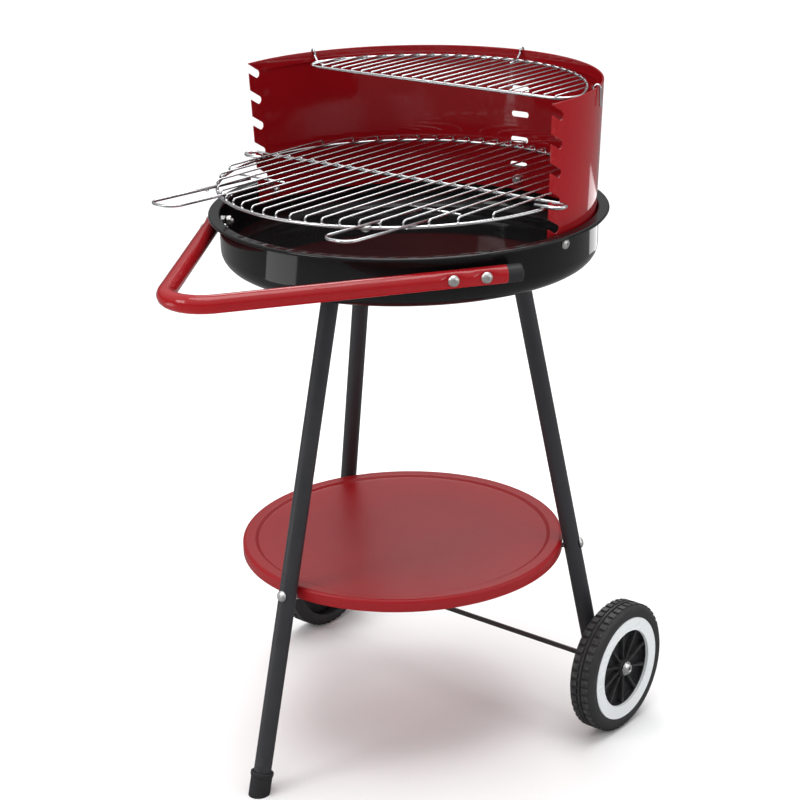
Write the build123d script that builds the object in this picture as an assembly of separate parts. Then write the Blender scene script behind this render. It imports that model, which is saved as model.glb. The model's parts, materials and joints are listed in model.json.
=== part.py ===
from build123d import *
import math
import os

# Round charcoal grill on three tube legs: a pressed fire bowl with a half-round wind shield, a notched
# cooking grate, a hooked warming rack, a V-shaped push handle, a storage shelf and two wheels on an axle.
# Millimetres, +Z up, front (handle side) towards -Y, wheels towards +Y, standing on Z = 0.
# Every size below is stated about the bowl's vertical axis; ORIGIN_Y moves it all to the footprint's centre.

# ---- fire bowl ----
SHEET = 1.2
RIM_Z = 594.4
RIM_R = 215.0
RIM_LIP = 3.0
BOWL_R = 203.4
BOWL_FLOOR_Z = 538.0
BOWL_CORNER = 18.0

# ---- wind shield ----
SHIELD_SHEET = 1.0
SHIELD_Z0 = 570.0
SHIELD_Z1 = 730.0
SHIELD_R0 = 200.2
SHIELD_R1 = 207.5
SHIELD_END_Y = -24.0
HEM = 12.0
NOTCH_W = 9.0
NOTCH_SLOPE = 30.0
NOTCH_DEPTH = 13.0
NOTCH_Z0 = 600.0
NOTCH_PITCH = 29.0
NOTCH_COUNT = 5
SLOT_W = 24.0
SLOT_H = 6.5
SHIELD_BOLT_Z = 582.5
SHIELD_BOLT_ANGLES = (0.5, 90.0, 179.5)

# ---- cooking grate ----
GRATE_LEVEL = 1
GRATE_Y = -11.0
CROSSBAR_D = 4.0
RING_D = 3.6
RING_R = 195.75
ROD_D = 2.2
ROD_PITCH = 18.0
ROD_COUNT = 21
LOOP_W = 17.5
LOOP_TIP_X = 217.0
LOOP_END_X = 187.0
GRIP_X = 117.5
GRIP_W = 35.0
GRIP_TIP_Y = -253.0
GRIP_WIRE_D = 3.2
GRIP_BEND = 14.0
TIE_Y = -104.0
TIE_LENGTH = 70.0
TAB_W = 18.0
TAB_REACH = 4.0
SLIDE_CLEARANCE = 0.3

# ---- warming rack ----
RACK_R = 190.0
RACK_FRONT_Y = 38.0
RACK_CORNER = 22.0
RACK_Z = 720.5
RACK_WIRE_D = 3.2
RACK_ROD_D = 1.8
RACK_ROD_PITCH = 14.4
RACK_ROD_COUNT = 24
HOOK_D = 2.6
HOOK_ANGLES = (20.0, 90.0, 160.0)
HOOK_DROP = 22.0

# ---- push handle ----
HANDLE_D = 18.5
HANDLE_WALL = 1.2
HANDLE_Z = 572.0
HANDLE_HALF_ANGLE = 34.5
HANDLE_APEX_Y = -378.0
HANDLE_BEND = 40.0
HANDLE_BOLT_OFFSETS = (-19.0, 15.0)
HANDLE_END_OFFSET = 37.0
CAP_LENGTH = 16.5
CAP_SPIGOT = 9.0

# ---- legs, foot, shelf ----
LEG_D = 19.0
LEG_WALL = 1.2
FRONT_LEG_TOP = (0.0, -130.0, 524.0)
FRONT_LEG_FOOT = (0.0, -274.0, 0.0)
REAR_LEG_TOP = (109.2, 52.5, 524.0)
AXLE_Y = 83.5
WHEEL_R = 74.5
LEG_AXLE_X = 190.5
LEG_BELOW_AXLE = 14.0
FOOT_CAP_R = 11.6
FOOT_CAP_H = 25.0
FOOT_CAP_BASE = 4.0
SHELF_Z = 220.0
SHELF_SKIRT = 13.4
SHELF_RING_W = 14.0
SHELF_RECESS = 2.5
SHELF_SHEET = 1.0
SHELF_BOLT_DROP = 7.0
INSERT_LENGTH = 24.0

# ---- wheels and axle ----
AXLE_D = 6.0
WHEEL_IN_X = 205.0
WHEEL_OUT_X = 235.0
HUB_IN_X = 203.7
TYRE_WALL = 4.0
TYRE_IN_R = 60.0
TREAD_DEPTH = 2.0
WHITE_OUT_R = 59.4
WHITE_IN_R = 44.6
HUB_R = 10.0
FINS = 10
RUNNING_GAP = 0.05

# ---- fasteners ----
BOLT_D = 6.0
HOLE_D = 6.5
HEAD_R = 6.0
HEAD_H = 3.4
NUT_AF = 10.0
NUT_H = 4.5
SEAT_GAP = 0.05

# ---- derived ----
WHEEL_Z = WHEEL_R
REAR_LEG_AXLE = (LEG_AXLE_X, AXLE_Y, WHEEL_Z)
GRATE_Z = NOTCH_Z0 + GRATE_LEVEL * NOTCH_PITCH - (NOTCH_W - CROSSBAR_D) / 2 + SLIDE_CLEARANCE
RING_Z = GRATE_Z - CROSSBAR_D / 2 - RING_D / 2 - SEAT_GAP
ROD_Z = GRATE_Z + CROSSBAR_D / 2 + ROD_D / 2 + SEAT_GAP
RING_TOP = RING_Z + RING_D / 2 + SEAT_GAP
TAB_Z = RING_TOP + ROD_D / 2
SLOT_Z = TAB_Z - ROD_D / 2 - SLIDE_CLEARANCE + SLOT_H / 2
HANDLE_R = -HANDLE_APEX_Y * math.sin(math.radians(HANDLE_HALF_ANGLE))
HANDLE_TIP_Y = (HANDLE_APEX_Y + HANDLE_BEND / math.sin(math.radians(HANDLE_HALF_ANGLE))
                - HANDLE_BEND - HANDLE_D / 2)
ORIGIN_Y = -(RIM_R + HANDLE_TIP_Y) / 2

os.makedirs("parts", exist_ok=True)


def save(node, *shapes):
    """Write one named sub-part, moved from the bowl's axis to the footprint's centre."""
    group = shapes[0] if len(shapes) == 1 else Compound(children=list(shapes))
    export_step(Pos(0, ORIGIN_Y, 0) * group, f"parts/{node}.step")


def rod_along(start, direction, radius, length):
    """A round bar from a start point along a direction."""
    base = Plane(origin=start, z_dir=direction)
    return base * Cylinder(radius, length, align=(Align.CENTER, Align.CENTER, Align.MIN))


def wire(points, bends, diameter):
    """A bent round wire: straight runs joined by tangent arcs."""
    path = FilletPolyline(*points, radius=bends)
    start = path @ 0
    section = Plane(origin=start, z_dir=path % 0) * Circle(diameter / 2)
    return sweep(section, path=path)


def bolt(seat, out, grip):
    """A domed-head bolt whose head sits on the seat point, with its shank going inwards by grip."""
    head = Plane(origin=seat, z_dir=out) * Cylinder(
        HEAD_R, HEAD_H, align=(Align.CENTER, Align.CENTER, Align.MIN))
    crown = head.edges().sort_by(lambda e: (e.center() - Vector(seat)).dot(Vector(out)))[-1]
    head = fillet(crown, HEAD_H * 0.7)
    inward = Vector(out) * -1
    return head + rod_along(Vector(seat) + Vector(out), inward, BOLT_D / 2, grip + 1)


def nut(seat, inward):
    """A hexagon nut from its seat face, going inwards around a bolt."""
    flat = RegularPolygon(NUT_AF / 2, 6, major_radius=False) - Circle(HOLE_D / 2)
    return extrude(Plane(origin=seat, z_dir=inward) * flat, NUT_H)


def sheet_of_revolution(points, bends, thickness, side):
    """A pressed sheet turned about the Z axis from its outline's one face and a thickness."""
    outline = FilletPolyline(*points, radius=bends)
    face = make_face(offset(outline, amount=thickness, side=side))
    return revolve(Plane.XZ * face, Axis.Z)


def polar(radius, angle, z):
    turn = math.radians(angle)
    return Vector(radius * math.cos(turn), radius * math.sin(turn), z)


# ---- bowl and shield ----

def shield_outer_radius(z):
    return SHIELD_R0 + (SHIELD_R1 - SHIELD_R0) * (z - SHIELD_Z0) / (SHIELD_Z1 - SHIELD_Z0)


def handle_frames():
    """For each side: the arm's run point nearest the bowl, its direction rearwards and its outward normal."""
    frames = []
    for side in (1, -1):
        turn = math.radians(HANDLE_HALF_ANGLE)
        outward = Vector(side * math.cos(turn), -math.sin(turn), 0)
        rearward = Vector(side * math.sin(turn), math.cos(turn), 0)
        frames.append((outward * HANDLE_R + Vector(0, 0, HANDLE_Z), rearward, outward))
    return frames


def leg_axes():
    """Top point (under the bowl floor), foot point and downward direction of each leg."""
    legs = {}
    lines = {
        "leg_front": (Vector(FRONT_LEG_TOP), Vector(FRONT_LEG_FOOT)),
        "leg_rear_right": (Vector(REAR_LEG_TOP), Vector(REAR_LEG_AXLE)),
    }
    top, axle = lines["leg_rear_right"]
    lines["leg_rear_left"] = (Vector(-top.X, top.Y, top.Z), Vector(-axle.X, axle.Y, axle.Z))
    for name, (high, low) in lines.items():
        down = (low - high).normalized()
        rise = (BOWL_FLOOR_Z - high.Z) / down.Z
        legs[name] = (high + down * rise, low, down)
    return legs


def point_at_height(leg, z):
    top, _, down = leg
    return top + down * ((z - top.Z) / down.Z)


def shelf_circle():
    """Centre Y and radius of the shelf that touches the inner side of all three legs."""
    legs = leg_axes()
    front = point_at_height(legs["leg_front"], SHELF_Z)
    rear = point_at_height(legs["leg_rear_right"], SHELF_Z)
    centre_y = (rear.X ** 2 + rear.Y ** 2 - front.Y ** 2) / (2 * (rear.Y - front.Y))
    slant = -legs["leg_front"][2].Z
    return centre_y, centre_y - front.Y - LEG_D / 2 / slant - SEAT_GAP


def shelf_bolt_seats():
    """For each leg: the point on its axis where the shelf bolt crosses and the bolt's outward direction."""
    centre_y, _ = shelf_circle()
    seats = []
    for leg in leg_axes().values():
        cross = point_at_height(leg, SHELF_Z - SHELF_BOLT_DROP)
        radial = Vector(cross.X, cross.Y - centre_y, 0).normalized()
        out = (radial - leg[2] * radial.dot(leg[2])).normalized()
        seats.append((cross, out))
    return seats


def make_fire_bowl():
    outline = [(0, BOWL_FLOOR_Z), (BOWL_R, BOWL_FLOOR_Z), (BOWL_R, RIM_Z - SHEET),
               (RIM_R - SHEET, RIM_Z - SHEET), (RIM_R - SHEET, RIM_Z - RIM_LIP)]
    bowl = sheet_of_revolution(outline, [BOWL_CORNER, 1.5, 1.0], SHEET, Side.LEFT)
    for nearest, rearward, outward in handle_frames():
        for offset_along in HANDLE_BOLT_OFFSETS:
            start = nearest + rearward * offset_along
            bowl -= rod_along(start, outward * -1, HOLE_D / 2, 40)
    for angle in SHIELD_BOLT_ANGLES:
        bowl -= rod_along(polar(BOWL_R + 2, angle, SHIELD_BOLT_Z), polar(-1, angle, 0), HOLE_D / 2, 10)
    for top, _, _ in leg_axes().values():
        bowl -= Pos(top.X, top.Y, BOWL_FLOOR_Z) * Cylinder(HOLE_D / 2, 10)
    save("fire_bowl", bowl)


def notch(level):
    """The slanted, round-ended notch of one level, as a bar along X that cuts both shield ends."""
    pocket = (SHIELD_END_Y + NOTCH_DEPTH, NOTCH_Z0 + level * NOTCH_PITCH)
    turn = Rot(0, 0, -NOTCH_SLOPE)
    reach = NOTCH_DEPTH * 2
    slot = Pos(-reach / 2, 0) * Rectangle(reach, NOTCH_W) + Circle(NOTCH_W / 2)
    profile = Plane.YZ * (Pos(*pocket) * (turn * slot))
    return extrude(profile, SHIELD_R1 + 10, both=True)


def make_wind_shield():
    hem_z = SHIELD_Z1 - HEM
    outline = Polygon(
        (shield_outer_radius(SHIELD_Z0), SHIELD_Z0),
        (shield_outer_radius(SHIELD_Z1), SHIELD_Z1),
        (shield_outer_radius(SHIELD_Z1) - 2 * SHIELD_SHEET, SHIELD_Z1),
        (shield_outer_radius(hem_z) - 2 * SHIELD_SHEET, hem_z),
        (shield_outer_radius(hem_z) - SHIELD_SHEET, hem_z),
        (shield_outer_radius(SHIELD_Z0) - SHIELD_SHEET, SHIELD_Z0),
        align=None)
    past_half = math.degrees(math.asin(-SHIELD_END_Y / shield_outer_radius(GRATE_Z)))
    face = Rot(0, 0, -past_half) * (Plane.XZ * outline)
    shield = revolve(face, Axis.Z, revolution_arc=180 + 2 * past_half)
    for level in range(NOTCH_COUNT):
        shield -= notch(level)
    for level in range(NOTCH_COUNT - 1):
        slot = SlotOverall(SLOT_W, SLOT_H)
        cutter = extrude(Plane(origin=(0, RIM_R, SLOT_Z + (level - GRATE_LEVEL) * NOTCH_PITCH),
                               x_dir=(1, 0, 0), z_dir=(0, -1, 0)) * slot, 30)
        shield -= cutter
    for angle in SHIELD_BOLT_ANGLES:
        shield -= rod_along(polar(BOWL_R + 2, angle, SHIELD_BOLT_Z), polar(-1, angle, 0), HOLE_D / 2, 12)
    save("wind_shield", shield)


def make_shield_fasteners():
    bolts = []
    nuts = []
    inner = shield_outer_radius(SHIELD_BOLT_Z - NUT_AF / 2) - SHIELD_SHEET
    nut_face = math.sqrt(inner ** 2 - (NUT_AF * 0.6) ** 2) - SEAT_GAP
    for angle in SHIELD_BOLT_ANGLES:
        seat = BOWL_R + SEAT_GAP
        grip = seat - nut_face + NUT_H + 2
        bolts.append(bolt(polar(seat, angle, SHIELD_BOLT_Z), polar(1, angle, 0), grip))
        nuts.append(nut(polar(nut_face, angle, SHIELD_BOLT_Z), polar(-1, angle, 0)))
    save("shield_bolts", *bolts)
    save("shield_nuts", *nuts)


# ---- push handle ----

def make_handle():
    ends = [nearest + rearward * HANDLE_END_OFFSET for nearest, rearward, _ in handle_frames()]
    apex = Vector(0, HANDLE_APEX_Y, HANDLE_Z)
    path = FilletPolyline(ends[0], apex, ends[1], radius=HANDLE_BEND)
    section = Circle(HANDLE_D / 2) - Circle(HANDLE_D / 2 - HANDLE_WALL)
    tube = sweep(Plane(origin=path @ 0, z_dir=path % 0) * section, path=path)
    caps = []
    bolts = []
    nuts = []
    for nearest, rearward, outward in handle_frames():
        for offset_along in HANDLE_BOLT_OFFSETS:
            centre = nearest + rearward * offset_along
            tube -= rod_along(centre + outward * HANDLE_D, outward * -1, HOLE_D / 2, 2 * HANDLE_D)
            seat = centre + outward * (HANDLE_D / 2 + SEAT_GAP)
            reach = abs(offset_along) + NUT_AF * 0.6
            face_r = math.sqrt((BOWL_R - SHEET) ** 2 - reach ** 2) - SEAT_GAP
            nut_seat = centre - outward * (HANDLE_R - face_r)
            grip = (seat - nut_seat).length + NUT_H + 2
            bolts.append(bolt(seat, outward, grip))
            nuts.append(nut(nut_seat, outward * -1))
        end = nearest + rearward * HANDLE_END_OFFSET
        cap = rod_along(end + rearward * SEAT_GAP, rearward, HANDLE_D / 2, CAP_LENGTH)
        cap = fillet(cap.edges().sort_by(lambda e: (e.center() - nearest).dot(rearward))[-1], 2.5)
        spigot_r = HANDLE_D / 2 - HANDLE_WALL - SEAT_GAP
        caps.append(cap + rod_along(end - rearward * CAP_SPIGOT, rearward, spigot_r, CAP_SPIGOT + 1))
    save("handle_tube", tube)
    save("handle_end_caps", *caps)
    save("handle_bolts", *bolts)
    save("handle_nuts", *nuts)


# ---- legs and what they carry ----

def below(z):
    """A large block whose top face is at height z."""
    return Pos(0, 0, z) * Box(2000, 2000, 200, align=(Align.CENTER, Align.CENTER, Align.MAX))


def above(z):
    return Pos(0, 0, z) * Box(2000, 2000, 200, align=(Align.CENTER, Align.CENTER, Align.MIN))


def make_legs():
    tube_face = Circle(LEG_D / 2) - Circle(LEG_D / 2 - LEG_WALL)
    seats = shelf_bolt_seats()
    inserts = []
    plugs = []
    top_bolts = []
    for (name, (top, low, down)), (cross, out) in zip(leg_axes().items(), seats):
        front = name == "leg_front"
        start = top - down * 20
        length = (low - start).length + (0 if front else LEG_BELOW_AXLE)
        tube = extrude(Plane(origin=start, z_dir=down) * tube_face, length)
        tube -= above(BOWL_FLOOR_Z - SEAT_GAP)
        if front:
            tube -= below(FOOT_CAP_BASE + SEAT_GAP)
        else:
            tube -= rod_along(Vector(low.X - 30, low.Y, low.Z), (1, 0, 0), AXLE_D / 2 + RUNNING_GAP, 60)
            end = low + down * LEG_BELOW_AXLE
            plug = rod_along(end, down, LEG_D / 2, 2)
            plug += rod_along(end - down * 6, down, LEG_D / 2 - LEG_WALL - SEAT_GAP, 7)
            plugs.append(plug)
        tube -= rod_along(cross - out * LEG_D, out, HOLE_D / 2, 2 * LEG_D)
        save(name, tube)
        insert = rod_along(start, down, LEG_D / 2 - LEG_WALL - SEAT_GAP, 20 + INSERT_LENGTH)
        insert -= above(BOWL_FLOOR_Z - SEAT_GAP)
        insert -= Pos(top.X, top.Y, BOWL_FLOOR_Z) * Cylinder(HOLE_D / 2, 40)
        inserts.append(insert)
        head_seat = (top.X, top.Y, BOWL_FLOOR_Z + SHEET + SEAT_GAP)
        top_bolts.append(bolt(head_seat, (0, 0, 1), 18))
    save("leg_top_inserts", *inserts)
    save("leg_top_bolts", *top_bolts)
    save("rear_leg_plugs", *plugs)


def make_foot_cap():
    _, low, down = leg_axes()["leg_front"]
    cup = rod_along(low - down * FOOT_CAP_H, down, FOOT_CAP_R, FOOT_CAP_H * 2)
    cup -= below(0)
    bore = rod_along(low - down * FOOT_CAP_H * 2, down, LEG_D / 2 + SEAT_GAP, FOOT_CAP_H * 4)
    bore -= below(FOOT_CAP_BASE)
    save("foot_cap", cup - bore)


def make_shelf():
    centre_y, radius = shelf_circle()
    skirt_z = SHELF_Z - SHELF_SKIRT
    inner = radius - SHELF_RING_W
    outline = [(0, SHELF_Z - SHELF_RECESS), (inner - 4, SHELF_Z - SHELF_RECESS), (inner, SHELF_Z),
               (radius, SHELF_Z), (radius, skirt_z)]
    tray = sheet_of_revolution(outline, [2.0, 2.0, 4.0], SHELF_SHEET, Side.RIGHT)
    tray = Pos(0, centre_y, 0) * tray
    bolts = []
    nuts = []
    for cross, out in shelf_bolt_seats():
        tray -= rod_along(cross, out * -1, HOLE_D / 2, 30)
        seat = cross + out * (LEG_D / 2 + SEAT_GAP)
        nut_seat = cross - out * (LEG_D / 2 + 4.8)
        bolts.append(bolt(seat, out, (seat - nut_seat).length + NUT_H + 2))
        nuts.append(nut(nut_seat, out * -1))
    save("shelf", tray)
    save("shelf_bolts", *bolts)
    save("shelf_nuts", *nuts)


# ---- axle and wheels ----

def make_axle():
    half = WHEEL_OUT_X + 3
    save("axle", rod_along((-half, AXLE_Y, WHEEL_Z), (1, 0, 0), AXLE_D / 2 - RUNNING_GAP / 2, 2 * half))
    caps = []
    washers = []
    for side in (1, -1):
        out = Vector(side, 0, 0)
        cap = rod_along((side * (WHEEL_OUT_X - 1.2), AXLE_Y, WHEEL_Z), out, 8.0, 5.2)
        cap = fillet(cap.edges().sort_by(Axis.X)[-1 if side > 0 else 0], 3.5)
        cap -= rod_along((side * (WHEEL_OUT_X - 2), AXLE_Y, WHEEL_Z), out, AXLE_D / 2, 5.2)
        caps.append(cap)
        face = Circle(7.0) - Circle(AXLE_D / 2 + RUNNING_GAP)
        at = Plane(origin=(side * 201.9, AXLE_Y, WHEEL_Z), z_dir=out)
        washers.append(extrude(at * face, 1.4))
    save("axle_caps", *caps)
    save("axle_washers", *washers)


def turned(points):
    """A ring turned about the wheel's axis from a closed outline of (x, radius) points."""
    face = Plane.XY * Polygon(*points, align=None)
    return revolve(face, Axis.X)


def wheel_parts():
    """Tyre, white ring and hub of the right-hand wheel, about the X axis."""
    tyre = turned([(WHEEL_IN_X, TYRE_IN_R), (WHEEL_IN_X, WHEEL_R - 5), (WHEEL_IN_X + 3, WHEEL_R),
                   (WHEEL_OUT_X - 3, WHEEL_R), (WHEEL_OUT_X, WHEEL_R - 5), (WHEEL_OUT_X, TYRE_IN_R),
                   (WHEEL_OUT_X - TYRE_WALL, TYRE_IN_R), (WHEEL_OUT_X - TYRE_WALL, WHEEL_R - TYRE_WALL - 3),
                   (WHEEL_IN_X + TYRE_WALL, WHEEL_R - TYRE_WALL - 3), (WHEEL_IN_X + TYRE_WALL, TYRE_IN_R)])
    middle = (WHEEL_IN_X + WHEEL_OUT_X) / 2
    groove = turned([(middle - 1, WHEEL_R - TREAD_DEPTH), (middle + 1, WHEEL_R - TREAD_DEPTH),
                     (middle + 1, WHEEL_R + 1), (middle - 1, WHEEL_R + 1)])
    tyre -= groove
    ring = turned([(WHEEL_OUT_X - TYRE_WALL + 0.1, WHITE_IN_R), (WHEEL_OUT_X, WHITE_IN_R),
                   (WHEEL_OUT_X, WHITE_OUT_R), (WHEEL_OUT_X - TYRE_WALL + 0.1, WHITE_OUT_R)])
    web_x = WHEEL_OUT_X - 13
    bore = AXLE_D / 2 + RUNNING_GAP
    hub = turned([(HUB_IN_X, bore), (WHEEL_OUT_X - 2, bore), (WHEEL_OUT_X - 2, HUB_R), (web_x + 3, HUB_R),
                  (web_x + 3, WHITE_IN_R), (WHEEL_OUT_X - TYRE_WALL, WHITE_IN_R),
                  (WHEEL_OUT_X - TYRE_WALL, TYRE_IN_R - SEAT_GAP), (web_x, TYRE_IN_R - SEAT_GAP),
                  (web_x, HUB_R + 3), (HUB_IN_X, HUB_R + 3)])
    for index in range(FINS):
        fin = Pos(web_x + 2.5, 0, (HUB_R + WHITE_IN_R) / 2) * Box(
            6.5, 2.4, WHITE_IN_R - HUB_R + 1, align=(Align.MIN, Align.CENTER, Align.CENTER))
        hub += Rot(360 / FINS * index, 0, 0) * fin
    return tyre, ring, hub


def make_wheels():
    tyre, ring, hub = wheel_parts()
    for side in ("right", "left"):
        for piece, shape in (("tyre", tyre), ("white_ring", ring), ("hub", hub)):
            placed = Pos(0, AXLE_Y, WHEEL_Z) * (shape if side == "right" else mirror(shape, Plane.YZ))
            save(f"wheel_{side}_{piece}", placed)


# ---- cooking grate ----

def make_grate():
    ring = Pos(0, GRATE_Y, RING_Z) * Torus(RING_R, RING_D / 2)
    save("grate_ring", ring)
    rods = []
    first = -(ROD_COUNT - 1) / 2 * ROD_PITCH
    for index in range(ROD_COUNT):
        x = first + index * ROD_PITCH
        half = math.sqrt(RING_R ** 2 - x ** 2)
        ends = [GRATE_Y - half, GRATE_Y + half]
        low = RING_TOP
        points = [(x, ends[0], low), (x, ends[0], ROD_Z), (x, ends[1], ROD_Z), (x, ends[1], low)]
        rods.append(wire(points, [3.0, 3.0], ROD_D))
    save("grate_rods", *rods)
    bend = LOOP_W / 2 - 0.01
    loop_y = GRATE_Y - LOOP_W
    crossbar = [(-LOOP_END_X, loop_y), (-LOOP_TIP_X, loop_y), (-LOOP_TIP_X, GRATE_Y),
                (LOOP_TIP_X, GRATE_Y), (LOOP_TIP_X, loop_y), (LOOP_END_X, loop_y)]
    save("grate_crossbar", wire([(x, y, GRATE_Z) for x, y in crossbar], [bend] * 4, CROSSBAR_D))
    tie_z = ROD_Z - ROD_D - SEAT_GAP
    inner_z = tie_z - ROD_D / 2 - GRIP_WIRE_D / 2 - 4 * SEAT_GAP
    ring_y = GRATE_Y - math.sqrt(RING_R ** 2 - GRIP_X ** 2)
    outer_z = RING_TOP + GRIP_WIRE_D / 2
    slope = (outer_z + 0.6 - inner_z) / (ring_y - TIE_Y)
    tip_z = inner_z + slope * (GRIP_TIP_Y - TIE_Y)
    ties = []
    for name, side in (("grate_grip_left", -1), ("grate_grip_right", 1)):
        near = side * GRIP_X - GRIP_W / 2
        far = side * GRIP_X + GRIP_W / 2
        points = [(near, TIE_Y + 2, inner_z), (near, GRIP_TIP_Y, tip_z),
                  (far, GRIP_TIP_Y, tip_z), (far, TIE_Y + 2, inner_z)]
        save(name, wire(points, [GRIP_BEND, GRIP_BEND], GRIP_WIRE_D))
        ties.append(rod_along((side * GRIP_X - TIE_LENGTH / 2, TIE_Y, tie_z), (1, 0, 0), ROD_D / 2, TIE_LENGTH))
    save("grate_grip_ties", *ties)
    tab_tip = shield_outer_radius(TAB_Z) + TAB_REACH - ROD_D / 2
    tab_start = GRATE_Y + RING_R - 14
    tab = [(-TAB_W / 2, tab_start, TAB_Z), (-TAB_W / 2, tab_tip, TAB_Z),
           (TAB_W / 2, tab_tip, TAB_Z), (TAB_W / 2, tab_start, TAB_Z)]
    save("grate_rear_tab", wire(tab, [5.0, 5.0], ROD_D))


# ---- warming rack ----

def make_rack():
    disc = Circle(RACK_R)
    front_cut = Pos(0, RACK_FRONT_Y - RACK_R) * Rectangle(2 * RACK_R + 10, 2 * RACK_R)
    plate = disc - front_cut
    corners = plate.vertices().sort_by(Axis.X)
    plate = fillet([corners[0], corners[-1]], RACK_CORNER)
    path = Pos(0, 0, RACK_Z) * plate.wire()
    start = path @ 0
    frame = sweep(Plane(origin=start, z_dir=path % 0) * Circle(RACK_WIRE_D / 2), path=path)
    save("rack_frame", frame)
    rods = []
    rod_z = RACK_Z + RACK_WIRE_D / 2 + RACK_ROD_D / 2 + SEAT_GAP
    first = -(RACK_ROD_COUNT - 1) / 2 * RACK_ROD_PITCH
    for index in range(RACK_ROD_COUNT):
        x = first + index * RACK_ROD_PITCH
        back = math.sqrt(RACK_R ** 2 - x ** 2) + 1
        rods.append(rod_along((x, RACK_FRONT_Y - 1, rod_z), (0, 1, 0), RACK_ROD_D / 2, back - RACK_FRONT_Y))
    save("rack_rods", *rods)
    hooks = []
    low = RACK_Z - RACK_WIRE_D / 2 - HOOK_D / 2 - SEAT_GAP
    over = SHIELD_Z1 + HOOK_D / 2 + 0.9
    inside = shield_outer_radius(SHIELD_Z1 - HEM) - 2 * SHIELD_SHEET - HOOK_D / 2 - 0.4
    outside = SHIELD_R1 + HOOK_D / 2 + 0.8
    profile = [(RACK_R - 6, low), (inside - 8, low), (inside, low + 9), (inside, over),
               (outside, over), (outside, over - HOOK_DROP)]
    for angle in HOOK_ANGLES:
        points = [polar(radius, angle, z) for radius, z in profile]
        hooks.append(wire(points, [4.0, 4.0, 3.2, 3.2], HOOK_D))
    save("rack_hooks", *hooks)


make_fire_bowl()
make_wind_shield()
make_shield_fasteners()
make_handle()
make_legs()
make_foot_cap()
make_shelf()
make_axle()
make_wheels()
make_grate()
make_rack()
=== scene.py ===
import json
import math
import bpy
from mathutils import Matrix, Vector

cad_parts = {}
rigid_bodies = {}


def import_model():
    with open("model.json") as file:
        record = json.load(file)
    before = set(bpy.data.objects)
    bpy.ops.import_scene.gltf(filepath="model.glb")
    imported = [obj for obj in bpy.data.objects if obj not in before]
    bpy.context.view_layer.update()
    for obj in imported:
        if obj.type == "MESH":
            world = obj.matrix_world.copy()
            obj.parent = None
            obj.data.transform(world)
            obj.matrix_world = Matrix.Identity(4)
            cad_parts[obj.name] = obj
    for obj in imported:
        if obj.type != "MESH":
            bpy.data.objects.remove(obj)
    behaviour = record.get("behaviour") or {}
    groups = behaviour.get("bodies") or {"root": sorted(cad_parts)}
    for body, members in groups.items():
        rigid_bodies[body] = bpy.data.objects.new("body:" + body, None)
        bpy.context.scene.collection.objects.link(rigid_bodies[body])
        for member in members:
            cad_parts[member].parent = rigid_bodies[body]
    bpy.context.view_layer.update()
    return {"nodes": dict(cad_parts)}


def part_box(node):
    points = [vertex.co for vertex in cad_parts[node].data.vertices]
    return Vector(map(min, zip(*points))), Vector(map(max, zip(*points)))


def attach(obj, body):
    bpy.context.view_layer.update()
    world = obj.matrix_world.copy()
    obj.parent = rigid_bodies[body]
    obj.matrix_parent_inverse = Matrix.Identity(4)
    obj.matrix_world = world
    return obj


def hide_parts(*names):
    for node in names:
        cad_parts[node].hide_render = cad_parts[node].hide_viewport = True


bl_info = {
    "name": "Round charcoal grill",
    "version": (1, 0, 0),
    "blender": (4, 5, 0),
    "location": "3D View > Sidebar > Grill",
    "description": "Builds the visible pieces of a round three-legged charcoal grill around its CAD frame",
    "category": "Add Mesh",
}

import bmesh
import bpy
from bpy.props import FloatProperty, FloatVectorProperty, IntProperty, PointerProperty
from mathutils import Matrix, Vector

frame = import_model()

# ---- measures taken from the frame, in metres ----

MM = 0.001
TURN = 2 * math.pi
UP = Vector((0, 0, 1))
RIGHTWARD = Vector((1, 0, 0))
REARWARD = Vector((0, 1, 0))

BOWL_LOW, BOWL_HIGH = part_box("fire_bowl")
BOWL_Y = (BOWL_LOW.y + BOWL_HIGH.y) / 2
RIM_R = (BOWL_HIGH.x - BOWL_LOW.x) / 2
RIM_Z = BOWL_HIGH.z
FLOOR_Z = BOWL_LOW.z
SHIELD_LOW, SHIELD_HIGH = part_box("wind_shield")
WHEEL_LOW, WHEEL_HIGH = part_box("wheel_right_tyre")
WHEEL_Z = (WHEEL_LOW.z + WHEEL_HIGH.z) / 2
WHEEL_R = (WHEEL_HIGH.z - WHEEL_LOW.z) / 2
AXLE_Y = (WHEEL_LOW.y + WHEEL_HIGH.y) / 2
SHELF_LOW, SHELF_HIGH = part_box("shelf")
SHELF_Y = (SHELF_LOW.y + SHELF_HIGH.y) / 2
SHELF_R = (SHELF_HIGH.x - SHELF_LOW.x) / 2


def spot(x, y, z):
    """A point given in millimetres from the bowl's axis and the ground, as a point of the frame."""
    return Vector((x * MM, y * MM + BOWL_Y, z * MM))


def height_of(name):
    """The height of a frame piece's box, in millimetres: the diameter of a level wire."""
    low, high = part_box(name)
    return (high.z - low.z) / MM


AXIS_FOOT = spot(0, 0, 0)
WHEEL_CENTRE = Vector((0, AXLE_Y, WHEEL_Z))


# ---- settings a user may change ----

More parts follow.
